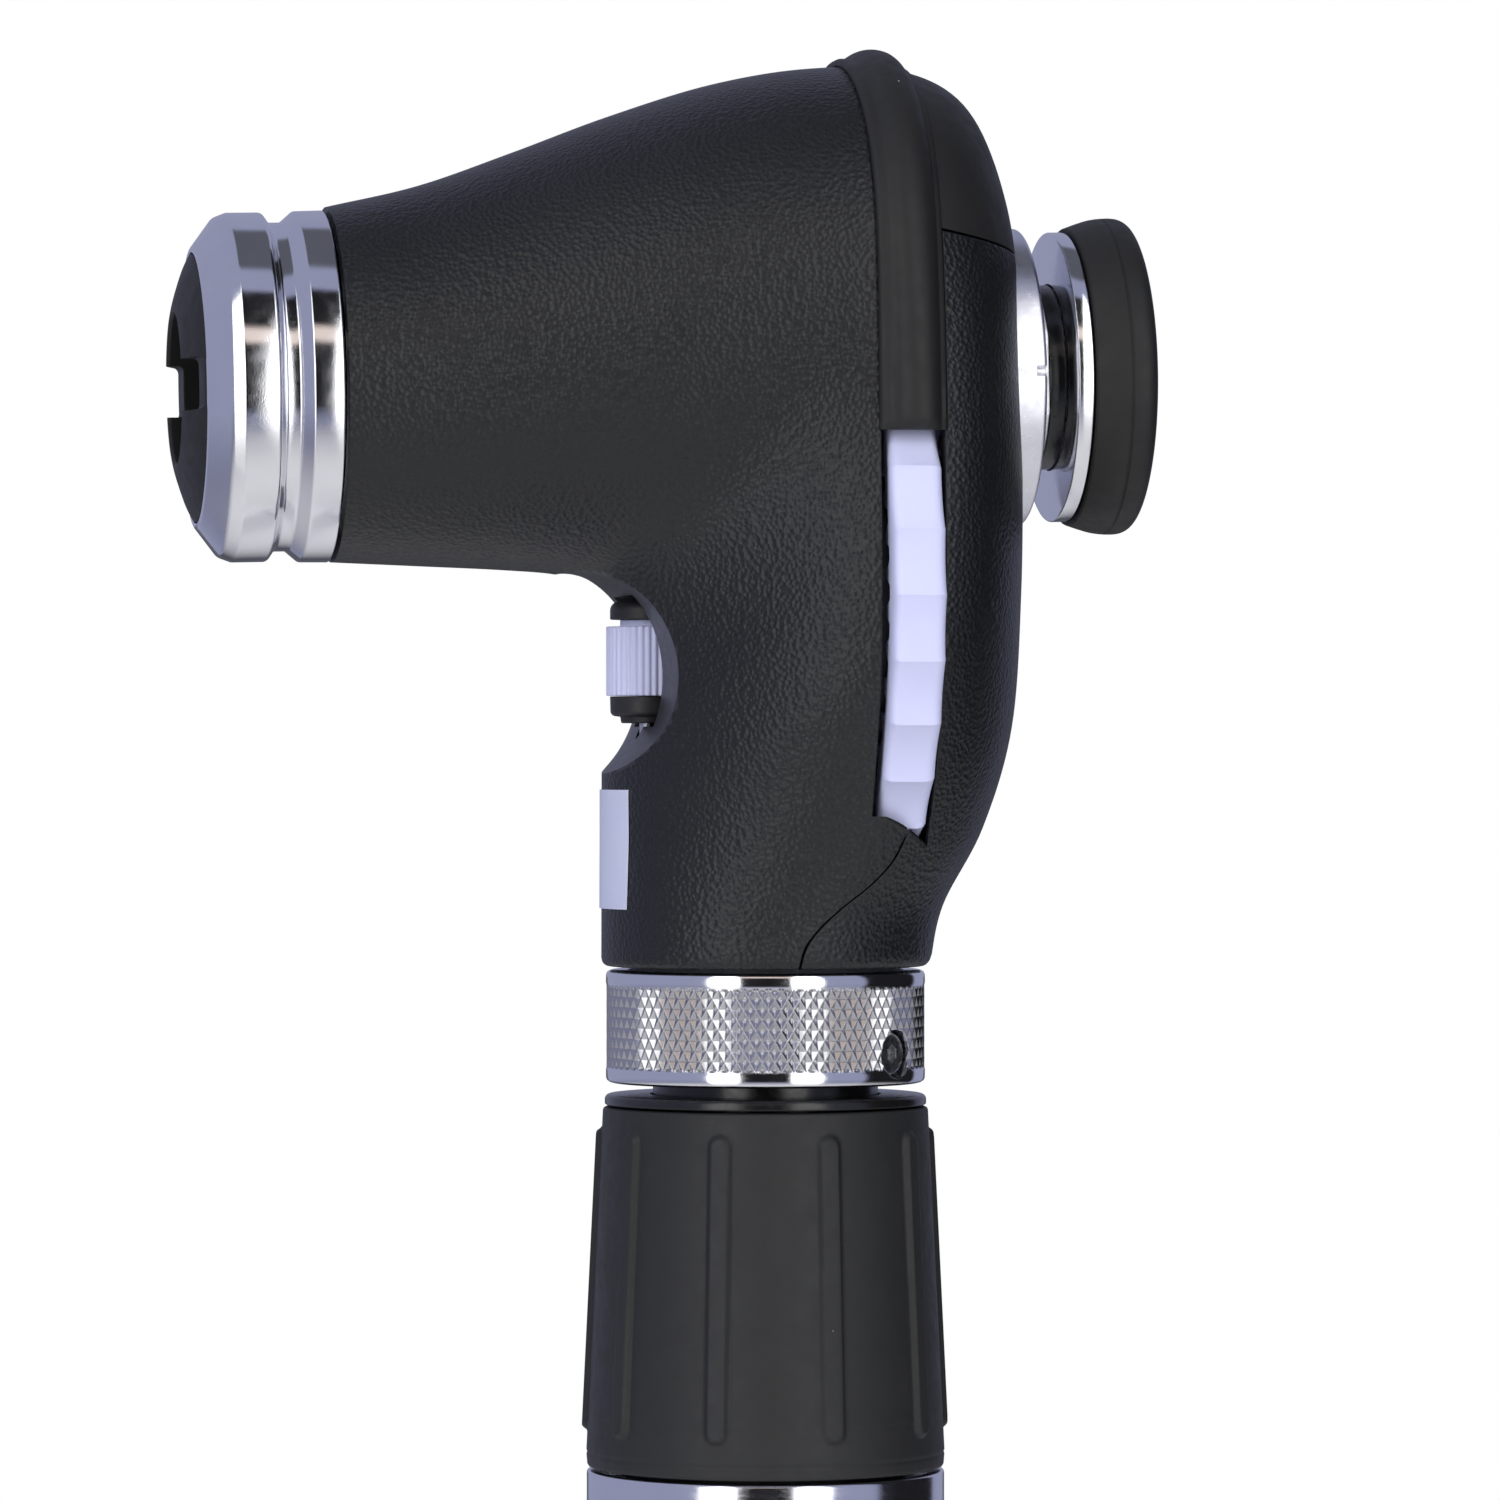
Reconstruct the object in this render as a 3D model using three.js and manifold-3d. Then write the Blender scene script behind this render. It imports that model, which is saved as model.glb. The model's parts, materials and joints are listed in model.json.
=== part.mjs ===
// A hand-held ophthalmoscope: a battery handle with a twist brightness sleeve, and a head that turns and lifts
// off a bayonet. The head holds the lamp, an aperture dial, a focusing wheel that drives a lens carriage, the
// patient-side lens at -X and the practitioner's rubber eyecup at +X.
// Millimetres, +Z up, X along the line of sight. The origin is the centre of the handle's base.
import * as THREE from 'three';
import Module from 'manifold-3d';
import { mergeVertices } from 'three/addons/utils/BufferGeometryUtils.js';

const wasm = await Module();
wasm.setup();

// ---------------------------------------------------------------- driving dimensions
const GAP = 0.3; // clearance between pieces that meet
const FINE = 30; // facets round a large turned piece
const COARSE = 14; // facets round a small or hidden turned piece

// handle
const BARREL_RADIUS = 15.4;
const BARREL_WALL = 1.0;
const CAP_HEIGHT = 9.0;
const BARREL_TOP = 107.7;
const SLEEVE_BOTTOM = 108.0;
const SLEEVE_TOP = 138.9;
const SLEEVE_BOTTOM_RADIUS = 15.5;
const SLEEVE_TOP_RADIUS = 14.0;
const SLEEVE_BORE = 12.3;
const TOP_RING_TOP = 140.0;
const TOP_RING_RADIUS = 13.85;
const BATTERY_RADIUS = 13.1;
const BATTERY_BOTTOM = 17.0;
const BATTERY_TOP = 94.0;
const RIB_COUNT = 9;
const RIB_PITCH = 37.7; // degrees
const RIB_FIRST = -138.8; // degrees, from -Y towards +X
const RIB_WIDTH = 2.3;
const RIB_PROUD = 0.5;
const LOCK_BUTTON_ANGLE = 202; // degrees, from -Y towards +X
const LOCK_BUTTON_Z = 132;

// bayonet between handle and head
const BOSS_RADIUS = 9.7;
const BOSS_TOP = 147.0;
const LUG_COUNT = 3;
const LUG_RADIUS = 10.9;
const LUG_ARC = 36; // degrees
const PIN_TOP = 148.0;

// collar of the head
const COLLAR_RADIUS = 13.75;
const COLLAR_BORE = 11.9;
const COLLAR_BOTTOM = 141.0;
const COLLAR_TOP = 150.7;
const SET_SCREW_Z = 143.7;
const SET_SCREW_ANGLE = 45.1; // degrees, from -Y towards +X

// housing
const WALL = 1.8;
const SPLIT_X = 5.8; // front edge of the wheel slot and of the brow band
const SLOT_REAR_X = 11.4;
const SLOT_FOOT = 164.0;
const SLOT_HEAD = 196.4;
const BROW_FOOT = 212.0; // lower edge of the rubber brow cap at the back
const BROW_PROUD = 1.5;

// thumb scoop: a ring cut of elliptical section round an upright axis behind the neck
const SCOOP_AXIS_X = 73.5;
const SCOOP_RADIUS = 90.5;
const SCOOP_DEPTH = 7.0;
const SCOOP_HALF_HEIGHT = 9.0;
const SCOOP_Z = 175.8;
const SCOOP_FACETS = 120;
const LABEL_EDGE_X = -13.0; // the label covers the front of the neck as far back as this

// line of sight, which rises a little towards the eyecup
const SIGHT_Z = 201.4;
const SIGHT_TILT = 1.2; // degrees
const CARRIAGE_Z = 201.2; // height of the inner optics, which lie parallel to X

// focusing wheel, an internal ring gear that drives a lead screw
const WHEEL_Z = 182.5;
const WHEEL_RADIUS = 25.0;
const WHEEL_LEFT = 6.1;
const WHEEL_RIGHT = 10.7;
const WHEEL_SCALLOPS = 28;
const WHEEL_MODULE = 1.0;
const WHEEL_TEETH = 42;
const FOCUS_PINION_TEETH = 7;
const FOCUS_PINION_ANGLE = 35; // degrees from straight up, towards +Y
const FOCUS_SCREW_RADIUS = 1.4;

// aperture dial, whose pinion turns a horizontal aperture wheel
const DIAL_X = -10.2;
const DIAL_RADIUS = 3.66;
const DIAL_MODULE = 0.75;
const DIAL_TEETH = 8;
const APERTURE_TEETH = 33;
const APERTURE_WHEEL_BOTTOM = 185.9;
const APERTURE_WHEEL_TOP = 187.1;

const degrees = Math.PI / 180;

// ---------------------------------------------------------------- finishes
function finish(color, roughness, metalness) {
  return () => new THREE.MeshStandardMaterial({ color, roughness, metalness });
}

const chrome = finish(0xc4c6d6, 0.12, 1.0);
const satinAluminium = finish(0xb9bbca, 0.35, 1.0);
const brass = finish(0xc7a04e, 0.3, 1.0);
const springSteel = finish(0x9a9da6, 0.3, 1.0);
const blackPlastic = finish(0x1b1d20, 0.55, 0.0);
const glossBlack = finish(0x0c0c0e, 0.15, 0.0);
const blackRubber = finish(0x161719, 0.75, 0.0);
const lavenderPlastic = finish(0xb6b8dc, 0.45, 0.0);
const greyPlastic = finish(0x5d6068, 0.5, 0.0);
const whiteLabel = finish(0xc8cae6, 0.5, 0.0);
const batteryWrap = finish(0x2c4a3a, 0.4, 0.0);
const lensGlass = finish(0xd8e4ea, 0.03, 0.0);
const mirrorSilver = finish(0xf0f2f5, 0.02, 1.0);

// ---------------------------------------------------------------- shape helpers
const model = new THREE.Group();
const sight = new THREE.Group();
sight.position.set(0, 0, SIGHT_Z);
sight.rotation.y = -SIGHT_TILT * degrees;
sight.updateMatrixWorld();
model.add(sight);

function add(name, geometry, material, parent = model) {
  const mesh = new THREE.Mesh(geometry, material());
  mesh.name = name;
  parent.add(mesh);
  return mesh;
}

function signedVolume(positions, index) {
  let sum = 0;
  const a = new THREE.Vector3();
  const b = new THREE.Vector3();
  const c = new THREE.Vector3();
  for (let i = 0; i < index.length; i += 3) {
    a.fromArray(positions, index[i] * 3);
    b.fromArray(positions, index[i + 1] * 3);
    c.fromArray(positions, index[i + 2] * 3);
    sum += a.dot(b.clone().cross(c));
  }
  return sum / 6;
}

// A closed mesh with shared vertices merged, slivers on the axis dropped, and its faces pointing out.
function closed(geometry) {
  const bare = geometry.clone();
  for (const name of ['normal', 'uv']) bare.deleteAttribute(name);
  const merged = mergeVertices(bare, 1e-4);
  const positions = merged.attributes.position.array;
  const kept = [];
  const old = merged.index.array;
  for (let i = 0; i < old.length; i += 3) {
    const [a, b, c] = [old[i], old[i + 1], old[i + 2]];
    if (a !== b && b !== c && c !== a) kept.push(a, b, c);
  }
  if (signedVolume(positions, kept) < 0) {
    for (let i = 0; i < kept.length; i += 3) [kept[i], kept[i + 1]] = [kept[i + 1], kept[i]];
  }
  merged.setIndex(kept);
  return merged;
}

function solid(geometry) {
  const shape = closed(geometry);
  return new wasm.Manifold(new wasm.Mesh({
    numProp: 3,
    vertProperties: new Float32Array(shape.attributes.position.array),
    triVerts: new Uint32Array(shape.index.array),
  }));
}

function geometryOf(manifold) {
  const mesh = manifold.getMesh();
  const geometry = new THREE.BufferGeometry();
  geometry.setAttribute('position', new THREE.BufferAttribute(mesh.vertProperties, 3));
  geometry.setIndex(new THREE.BufferAttribute(mesh.triVerts, 1));
  geometry.computeVertexNormals();
  return geometry;
}

function turn(outline, facets) {
  const points = outline.map(([radius, height]) => new THREE.Vector2(radius, height));
  return new THREE.LatheGeometry(points, facets);
}

// Outline of [radius, z] turned about the Z axis. An outline off the axis closes on itself.
function turnedZ(outline, facets = FINE) {
  return closed(turn(outline, facets).rotateX(Math.PI / 2));
}

// Outline of [radius, x] turned about the X axis.
function turnedX(outline, facets = FINE) {
  return closed(turn(outline, facets).rotateZ(-Math.PI / 2));
}

function ring(inner, outer, low, high) {
  return [[inner, low], [outer, low], [outer, high], [inner, high], [inner, low]];
}

function rod(radius, low, high) {
  return [[0, low], [radius, low], [radius, high], [0, high]];
}

function box(xLow, xHigh, yLow, yHigh, zLow, zHigh) {
  const geometry = new THREE.BoxGeometry(xHigh - xLow, yHigh - yLow, zHigh - zLow);
  return geometry.translate((xLow + xHigh) / 2, (yLow + yHigh) / 2, (zLow + zHigh) / 2);
}

// Outline of [x, z] points extruded along Y from -halfWidth to +halfWidth.
function prismY(outline, halfWidth) {
  const shape = new THREE.Shape(outline.map(([x, z]) => new THREE.Vector2(x, z)));
  const geometry = new THREE.ExtrudeGeometry(shape, { depth: 2 * halfWidth, bevelEnabled: false });
  return closed(geometry.translate(0, 0, -halfWidth).rotateX(Math.PI / 2));
}

// An arc-shaped block about the Z axis. Angles are in degrees from -Y towards +X.
function arcBlock(inner, outer, low, high, middle, arc) {
  const steps = Math.max(2, Math.ceil(arc / 10));
  const outerEdge = [];
  const innerEdge = [];
  for (let i = 0; i <= steps; i += 1) {
    const angle = (middle - arc / 2 + (arc * i) / steps) * degrees;
    outerEdge.push(new THREE.Vector2(outer * Math.sin(angle), -outer * Math.cos(angle)));
    innerEdge.unshift(new THREE.Vector2(inner * Math.sin(angle), -inner * Math.cos(angle)));
  }
  const shape = new THREE.Shape([...outerEdge, ...innerEdge]);
  const geometry = new THREE.ExtrudeGeometry(shape, { depth: high - low, bevelEnabled: false });
  return closed(geometry.translate(0, 0, low));
}

// A compression spring about the line x = 0, y = 0.
function coilSpring(radius, wire, low, high, turns) {
  class Helix extends THREE.Curve {
    getPoint(t, target = new THREE.Vector3()) {
      const angle = t * turns * 2 * Math.PI;
      const z = low + wire + (high - low - 2 * wire) * t;
      return target.set(radius * Math.cos(angle), radius * Math.sin(angle), z);
    }
  }
  const section = new THREE.Shape();
  section.absarc(0, 0, wire, 0, 2 * Math.PI);
  return closed(new THREE.ExtrudeGeometry(section, {
    curveSegments: 2,
    steps: Math.round(turns * 9),
    bevelEnabled: false,
    extrudePath: new Helix(),
  }));
}

// Points of a spur gear's outline, with straight-sided teeth and backlash.
function gearOutline(teeth, module, rootRadius, tipRadius, phase = 0) {
  const pitchRadius = (teeth * module) / 2;
  const points = [];
  const halfTooth = (0.44 * Math.PI * module) / 2 / pitchRadius;
  const slope = 0.36 / pitchRadius;
  for (let i = 0; i < teeth; i += 1) {
    const middle = phase + (i * 2 * Math.PI) / teeth;
    const rootHalf = halfTooth + slope * Math.abs(pitchRadius - rootRadius);
    const tipHalf = halfTooth - slope * Math.abs(tipRadius - pitchRadius);
    for (const [radius, offset] of [
      [rootRadius, -rootHalf], [tipRadius, -tipHalf], [tipRadius, tipHalf], [rootRadius, rootHalf],
    ]) {
      points.push(new THREE.Vector2(radius * Math.cos(middle + offset), radius * Math.sin(middle + offset)));
    }
  }
  return points;
}

function extrude(shape, low, high, segments = 8) {
  const geometry = new THREE.ExtrudeGeometry(shape, {
    depth: high - low, bevelEnabled: false, curveSegments: segments,
  });
  return geometry.translate(0, 0, low);
}

// Stands a shape that was drawn in XY and extruded along Z on its side: along X, with its +X pointing up
// and its +Y pointing to +Y.
function alongX(geometry) {
  const basis = new THREE.Matrix4().makeBasis(
    new THREE.Vector3(0, 0, 1), new THREE.Vector3(0, 1, 0), new THREE.Vector3(1, 0, 0));
  return closed(geometry.applyMatrix4(basis));
}

// Turns a piece made on the -Y side round the handle, by degrees towards +X.
function aroundHandle(geometry, angle) {
  return geometry.rotateZ(angle * degrees);
}

function onSight(geometry) {
  return geometry.clone().applyMatrix4(sight.matrixWorld);
}

// ---------------------------------------------------------------- housing surface
// Each section runs from a point under the barrel or down the front of the neck, to a point on the top or back,
// and is an egg: [near x, near z, far x, far z, half-width, how far the widest place leans to the far end].
const SECTIONS = [
  [-37.6, 185.6, -38.2, 215.9, 15.15, 0.0],
  [-30.0, 185.3, -30.3, 217.8, 15.8, 0.0],
  [-22.8, 185.0, -22.3, 220.7, 17.0, 0.02],
  [-18.0, 184.6, -14.0, 223.9, 18.4, 0.05],
  [-15.4, 183.6, -5.0, 226.8, 19.6, 0.1],
  [-14.5, 181.8, 3.5, 228.3, 20.2, 0.16],
  [-14.2, 179.6, 11.5, 228.2, 20.7, 0.22],
  [-14.17, 177.2, 17.1, 225.0, 21.1, 0.28],
  [-14.17, 174.6, 20.35, 217.0, 21.6, 0.33],
  [-14.17, 171.8, 21.5, 207.0, 22.1, 0.36],
  [-14.17, 168.6, 21.65, 195.5, 22.5, 0.36],
  [-14.17, 165.2, 21.6, 183.5, 21.9, 0.34],
  [-14.17, 161.6, 21.05, 171.8, 19.0, 0.26],
  [-14.17, 158.2, 18.7, 163.0, 16.4, 0.14],
  [-14.15, 154.6, 15.3, 156.3, 14.8, 0.04],
  [-14.15, 151.0, 14.15, 151.0, 14.15, 0.0],
];

function catmullRom(p0, p1, p2, p3, t) {
  const square = t * t;
  return 0.5 * (2 * p1 + (p2 - p0) * t + (2 * p0 - 5 * p1 + 4 * p2 - p3) * square
    + (3 * p1 - p0 - 3 * p2 + p3) * square * t);
}

function sectionAt(position) {
  const last = SECTIONS.length - 1;
  const i = Math.min(Math.floor(position), last - 1);
  const here = SECTIONS[i];
  const next = SECTIONS[i + 1];
  return here.map((value, k) => {
    const before = i > 0 ? SECTIONS[i - 1][k] : 2 * value - next[k];
    const after = i + 2 <= last ? SECTIONS[i + 2][k] : 2 * next[k] - value;
    return catmullRom(before, value, next[k], after, position - i);
  });
}

// The solid inside the housing's outer surface, moved inwards by inset. A hollow's two ends are stretched out
// so that it cuts right through.
function housingSolid(inset, perSection, around, stretch = 0) {
  const count = (SECTIONS.length - 1) * perSection + 1;
  const positions = [];
  const index = [];
  for (let i = 0; i < count; i += 1) {
    const [nearX, nearZ, farX, farZ, halfWidth, lean] = sectionAt(i / perSection);
    const near = new THREE.Vector2(nearX, nearZ);
    const far = new THREE.Vector2(farX, farZ);
    const half = far.clone().sub(near).multiplyScalar(0.5);
    const middle = near.clone().add(half);
    half.setLength(half.length() - inset);
    if (i === 0) middle.x -= stretch;
    if (i === count - 1) middle.y -= stretch;
    const widestCos = lean > 0 ? (Math.sqrt(1 + 8 * lean * lean) - 1) / (4 * lean) : 0;
    const widest = Math.sqrt(1 - widestCos * widestCos) * (1 + lean * widestCos);
    for (let j = 0; j < around; j += 1) {
      const angle = (j * 2 * Math.PI) / around;
      const egg = (Math.sin(angle) * (1 + lean * Math.cos(angle))) / widest;
      positions.push(middle.x + half.x * Math.cos(angle), egg * (halfWidth - inset),
        middle.y + half.y * Math.cos(angle));
    }
    if (i === 0) continue;
    for (let j = 0; j < around; j += 1) {
      const a = (i - 1) * around + j;
      const b = (i - 1) * around + ((j + 1) % around);
      index.push(a, b, b + around, a, b + around, a + around);
    }
  }
  for (let j = 1; j < around - 1; j += 1) {
    const end = (count - 1) * around;
    index.push(0, j + 1, j, end, end + j, end + j + 1);
  }
  const geometry = new THREE.BufferGeometry();
  geometry.setAttribute('position', new THREE.Float32BufferAttribute(positions, 3));
  geometry.setIndex(index);
  return solid(geometry);
}

// The ring cut for the thumb, made larger all round by grow.
function scoopSolid(grow) {
  const outline = [];
  const points = 18;
  for (let i = 0; i <= points; i += 1) {
    const angle = (i % points) * ((2 * Math.PI) / points);
    outline.push([
      SCOOP_RADIUS + (SCOOP_DEPTH + grow) * Math.cos(angle),
      SCOOP_Z + (SCOOP_HALF_HEIGHT + grow) * Math.sin(angle),
    ]);
  }
  return solid(turnedZ(outline, SCOOP_FACETS).translate(SCOOP_AXIS_X, 0, 0));
}

// The XZ region behind the joint between front housing and rear cover. From the slot's foot the joint
// sweeps down and forward across the neck.
function rearRegion(shift) {
  const joint = [[9.2, 162.5], [8.2, 160.2], [6.4, 158.2], [3.9, 156.2], [2.0, 154.4], [0.8, 152.6], [0.3, 150]];
  const outline = [[SPLIT_X, 240], [SPLIT_X, SLOT_FOOT], [9.4, SLOT_FOOT], ...joint, [40, 150], [40, 240]];
  const moved = outline.map(([x, z]) => [x < 40 ? x + shift : x + 1, z < 151 ? z - 1 : z]);
  return solid(prismY(moved, 40));
}

const outerSurface = housingSolid(0, 1, 28);
const innerSurface = housingSolid(WALL, 1, 20, 3);
const scoop = scoopSolid(0);
const hollow = innerSurface.subtract(scoopSolid(1.5));
const shell = outerSurface.subtract(scoop).subtract(hollow);
const wheelRoom = solid(turnedX(rod(WHEEL_RADIUS + 0.4, WHEEL_LEFT - 0.35, WHEEL_RIGHT + 0.5), 48)
  .translate(0, 0, WHEEL_Z));
const slotRoom = solid(box(SPLIT_X, SLOT_REAR_X, -40, 40, SLOT_FOOT, SLOT_HEAD));
const flangeRoom = solid(onSight(turnedX(rod(12.9 + GAP, 14, 30), FINE)));

// ---------------------------------------------------------------- handle
function handleBarrel() {
  const inner = BARREL_RADIUS - BARREL_WALL;
  add('handle_barrel', turnedZ(ring(inner, BARREL_RADIUS, CAP_HEIGHT + GAP, BARREL_TOP)), chrome);
  add('insulating_sleeve', turnedZ(ring(13.4, inner - GAP, 16.0, 96.0)), greyPlastic);
}

function endCap() {
  const outline = [
    [3.6, 0], [BARREL_RADIUS - 1.2, 0], [BARREL_RADIUS, 1.2], [BARREL_RADIUS, CAP_HEIGHT],
    [13.3, CAP_HEIGHT], [13.3, 15.0], [11.8, 15.0], [11.8, 4.0], [3.6, 4.0], [3.6, 0],
  ];
  let cap = solid(turnedZ(outline));
  const flutes = 12;
  for (let i = 0; i < flutes; i += 1) {
    const flute = new THREE.CylinderGeometry(1.3, 1.3, 5.0, 8).rotateX(Math.PI / 2);
    flute.translate(0, -(BARREL_RADIUS + 0.9), 5.0);
    cap = cap.subtract(solid(aroundHandle(flute, (i * 360) / flutes)));
  }
  add('end_cap', geometryOf(cap), chrome);
  add('end_cap_seal', turnedZ(ring(13.55, 14.15, CAP_HEIGHT + 1.2, CAP_HEIGHT + 2.4)), blackRubber);
  add('charging_bushing', turnedZ([
    [1.8, 0.8], [3.3, 0.8], [3.3, 4.3], [8.0, 4.3], [8.0, 5.3], [1.8, 5.3], [1.8, 0.8],
  ], COARSE), blackPlastic);
  add('charging_contact', turnedZ([
    [0, 0], [1.5, 0], [1.5, 5.6], [7.2, 5.6], [7.2, 6.4], [0, 6.4],
  ], COARSE), brass);
  add('battery_spring', coilSpring(6.0, 0.55, 6.7, BATTERY_BOTTOM - GAP, 4), springSteel);
}

function battery() {
  add('battery_pack', turnedZ([
    [0, BATTERY_BOTTOM], [BATTERY_RADIUS - 0.6, BATTERY_BOTTOM], [BATTERY_RADIUS, BATTERY_BOTTOM + 0.6],
    [BATTERY_RADIUS, BATTERY_TOP - 0.6], [BATTERY_RADIUS - 0.6, BATTERY_TOP], [0, BATTERY_TOP],
  ]), batteryWrap);
  add('battery_terminal', turnedZ(rod(4.2, BATTERY_TOP + GAP, BATTERY_TOP + 2.0), COARSE), brass);
}

function rheostat() {
  const body = solid(turnedZ([
    [7.0, 96.6], [14.1, 96.6], [14.1, 106.2], [12.0, 106.2], [12.0, 127.0], [9.0, 127.0], [9.0, 137.0],
    [12.0, 137.0], [12.0, 138.4], [7.0, 138.4], [7.0, 96.6],
  ]));
  add('rheostat_body', geometryOf(body), blackPlastic);
  add('rheostat_track', arcBlock(12.3, 12.8, 108.6, 110.6, 0, 300), greyPlastic);
  add('rheostat_wiper', arcBlock(13.15, 13.8, 108.8, 110.4, -60, 24), brass);
}

function sleeveRadius(z) {
  const share = (z - SLEEVE_BOTTOM) / (SLEEVE_TOP - SLEEVE_BOTTOM);
  return SLEEVE_BOTTOM_RADIUS + share * (SLEEVE_TOP_RADIUS - SLEEVE_BOTTOM_RADIUS);
}

function brightnessSleeve() {
  let sleeve = solid(turnedZ([
    [14.2, SLEEVE_BOTTOM], [sleeveRadius(SLEEVE_BOTTOM), SLEEVE_BOTTOM], [sleeveRadius(SLEEVE_TOP), SLEEVE_TOP],
    [SLEEVE_BORE, SLEEVE_TOP], [SLEEVE_BORE, 111.5], [14.2, 111.5], [14.2, SLEEVE_BOTTOM],
  ]));
  const ribFoot = 110.9;
  const ribHead = 137.2;
  for (let i = 0; i < RIB_COUNT; i += 1) {
    const foot = sleeveRadius(ribFoot) + RIB_PROUD;
    const head = sleeveRadius(ribHead) + RIB_PROUD;
    const rib = new THREE.BoxGeometry(RIB_WIDTH, 1.2, ribHead - ribFoot);
    const lean = Math.atan2(foot - head, ribHead - ribFoot);
    rib.rotateX(-lean).translate(0, -(foot + head) / 2 + 0.6, (ribFoot + ribHead) / 2);
    sleeve = sleeve.add(solid(aroundHandle(rib, RIB_FIRST + i * RIB_PITCH)));
  }
  const buttonHole = new THREE.CylinderGeometry(3.5, 3.5, 8, 20).translate(0, -14, 0);
  sleeve = sleeve.subtract(solid(aroundHandle(buttonHole.translate(0, 0, LOCK_BUTTON_Z), LOCK_BUTTON_ANGLE)));
  add('brightness_sleeve', geometryOf(sleeve), blackRubber);
}

function lockButton() {
  const shaft = turn([[0, 10.6], [3.9, 10.6], [3.9, 11.3], [3.2, 11.3], [3.2, 14.9], [2.8, 15.3], [0, 15.3]], 20);
  const placed = closed(shaft.rotateX(Math.PI)).translate(0, 0, LOCK_BUTTON_Z);
  add('lock_button', aroundHandle(placed, LOCK_BUTTON_ANGLE), lavenderPlastic);
  const leaf = box(-1.5, 1.5, -9.6, -9.3, LOCK_BUTTON_Z - 4, LOCK_BUTTON_Z + 4);
  add('lock_button_spring', aroundHandle(leaf, LOCK_BUTTON_ANGLE), springSteel);
}

function handleTop() {
  add('handle_top_ring', turnedZ([
    [BOSS_RADIUS + GAP, 139.1], [TOP_RING_RADIUS - 0.1, 139.1], [TOP_RING_RADIUS, 139.2],
    [TOP_RING_RADIUS, 139.7], [TOP_RING_RADIUS - 0.3, TOP_RING_TOP], [BOSS_RADIUS + GAP, TOP_RING_TOP],
    [BOSS_RADIUS + GAP, 139.1],
  ]), glossBlack);
  let boss = solid(turnedZ(ring(6.4, BOSS_RADIUS, 138.7, BOSS_TOP)));
  for (let i = 0; i < LUG_COUNT; i += 1) {
    boss = boss.add(solid(arcBlock(BOSS_RADIUS - 1, LUG_RADIUS, 143.9, 145.7, (i * 360) / LUG_COUNT, LUG_ARC)));
  }
  add('bayonet_boss', geometryOf(boss), glossBlack);
  add('contact_insulator', turnedZ([
    [1.9, 126.0], [6.1, 126.0], [6.1, 146.6], [1.9, 146.6], [1.9, 140.3], [4.5, 140.3], [4.5, 130.0],
    [1.9, 130.0], [1.9, 126.0],
  ], COARSE), greyPlastic);
  add('contact_pin', turnedZ([
    [0, 137.3], [4.1, 137.3], [4.1, 138.6], [1.6, 138.6], [1.6, PIN_TOP - 0.5], [1.1, PIN_TOP], [0, PIN_TOP],
  ], COARSE), brass);
  add('contact_spring', coilSpring(3.0, 0.35, 131.2, 137.1, 4), springSteel);
  add('supply_rod', turnedZ([
    [0, 96.3], [1.5, 96.3], [1.5, 130.3], [4.1, 130.3], [4.1, 130.9], [0, 130.9],
  ], COARSE), brass);
}

// ---------------------------------------------------------------- head: collar, lamp and light path
function collar() {
  const bore = new THREE.CylinderGeometry(2.1, 2.1, 6, 20).translate(0, -13.5, SET_SCREW_Z);
  const hole = solid(aroundHandle(bore, SET_SCREW_ANGLE));
  const body = solid(turnedZ([
    [COLLAR_BORE, COLLAR_BOTTOM], [COLLAR_RADIUS - 0.5, COLLAR_BOTTOM], [COLLAR_RADIUS, COLLAR_BOTTOM + 0.5],
    [COLLAR_RADIUS, COLLAR_TOP - 0.5], [COLLAR_RADIUS - 0.5, COLLAR_TOP], [COLLAR_BORE, COLLAR_TOP],
    [COLLAR_BORE, COLLAR_BOTTOM],
  ]));
  add('coupling_collar', geometryOf(body.subtract(hole)), chrome);
  const screw = solid(closed(turn(rod(1.8, 11.95, 13.1), 20).rotateX(Math.PI)).translate(0, 0, SET_SCREW_Z));
  const socket = new THREE.CylinderGeometry(0.75, 0.75, 1.4, 6).translate(0, -13.1, SET_SCREW_Z);
  const placed = geometryOf(screw.subtract(solid(socket)));
  add('collar_set_screw', aroundHandle(placed, SET_SCREW_ANGLE), springSteel);
}

function bayonetSocket() {
  let socket = solid(turnedZ(ring(11.2, 11.6, 141.2, 149.6))).add(solid(turnedZ(ring(7.9, 11.4, 147.4, 149.6))));
  for (let i = 0; i < LUG_COUNT; i += 1) {
    const lip = arcBlock(BOSS_RADIUS + GAP, 11.4, 141.2, 143.5, (i * 360) / LUG_COUNT + 30, 78);
    socket = socket.add(solid(lip));
  }
  add('bayonet_socket', geometryOf(socket), satinAluminium);
}

function lamp() {
  add('lamp_socket', turnedZ([
    [4.6, 149.9], [11.6, 149.9], [11.6, 153.5], [7.0, 153.5], [7.0, 156.8],
    [4.6, 156.8], [4.6, 149.9],
  ], 28), greyPlastic);
  add('lamp_base', turnedZ([
    [0, 148.3], [1.6, 148.3], [1.6, 149.4], [4.3, 149.4], [4.3, 159.5], [2.4, 159.5], [0, 159.5],
  ], COARSE), brass);
  const bulb = [[0, 159.8], [2.3, 159.8], [2.9, 160.6], [2.9, 164.0], [2.4, 165.6], [1.3, 166.6], [0, 166.9]];
  add('lamp_bulb', turnedZ(bulb, COARSE), lensGlass);
}

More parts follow.
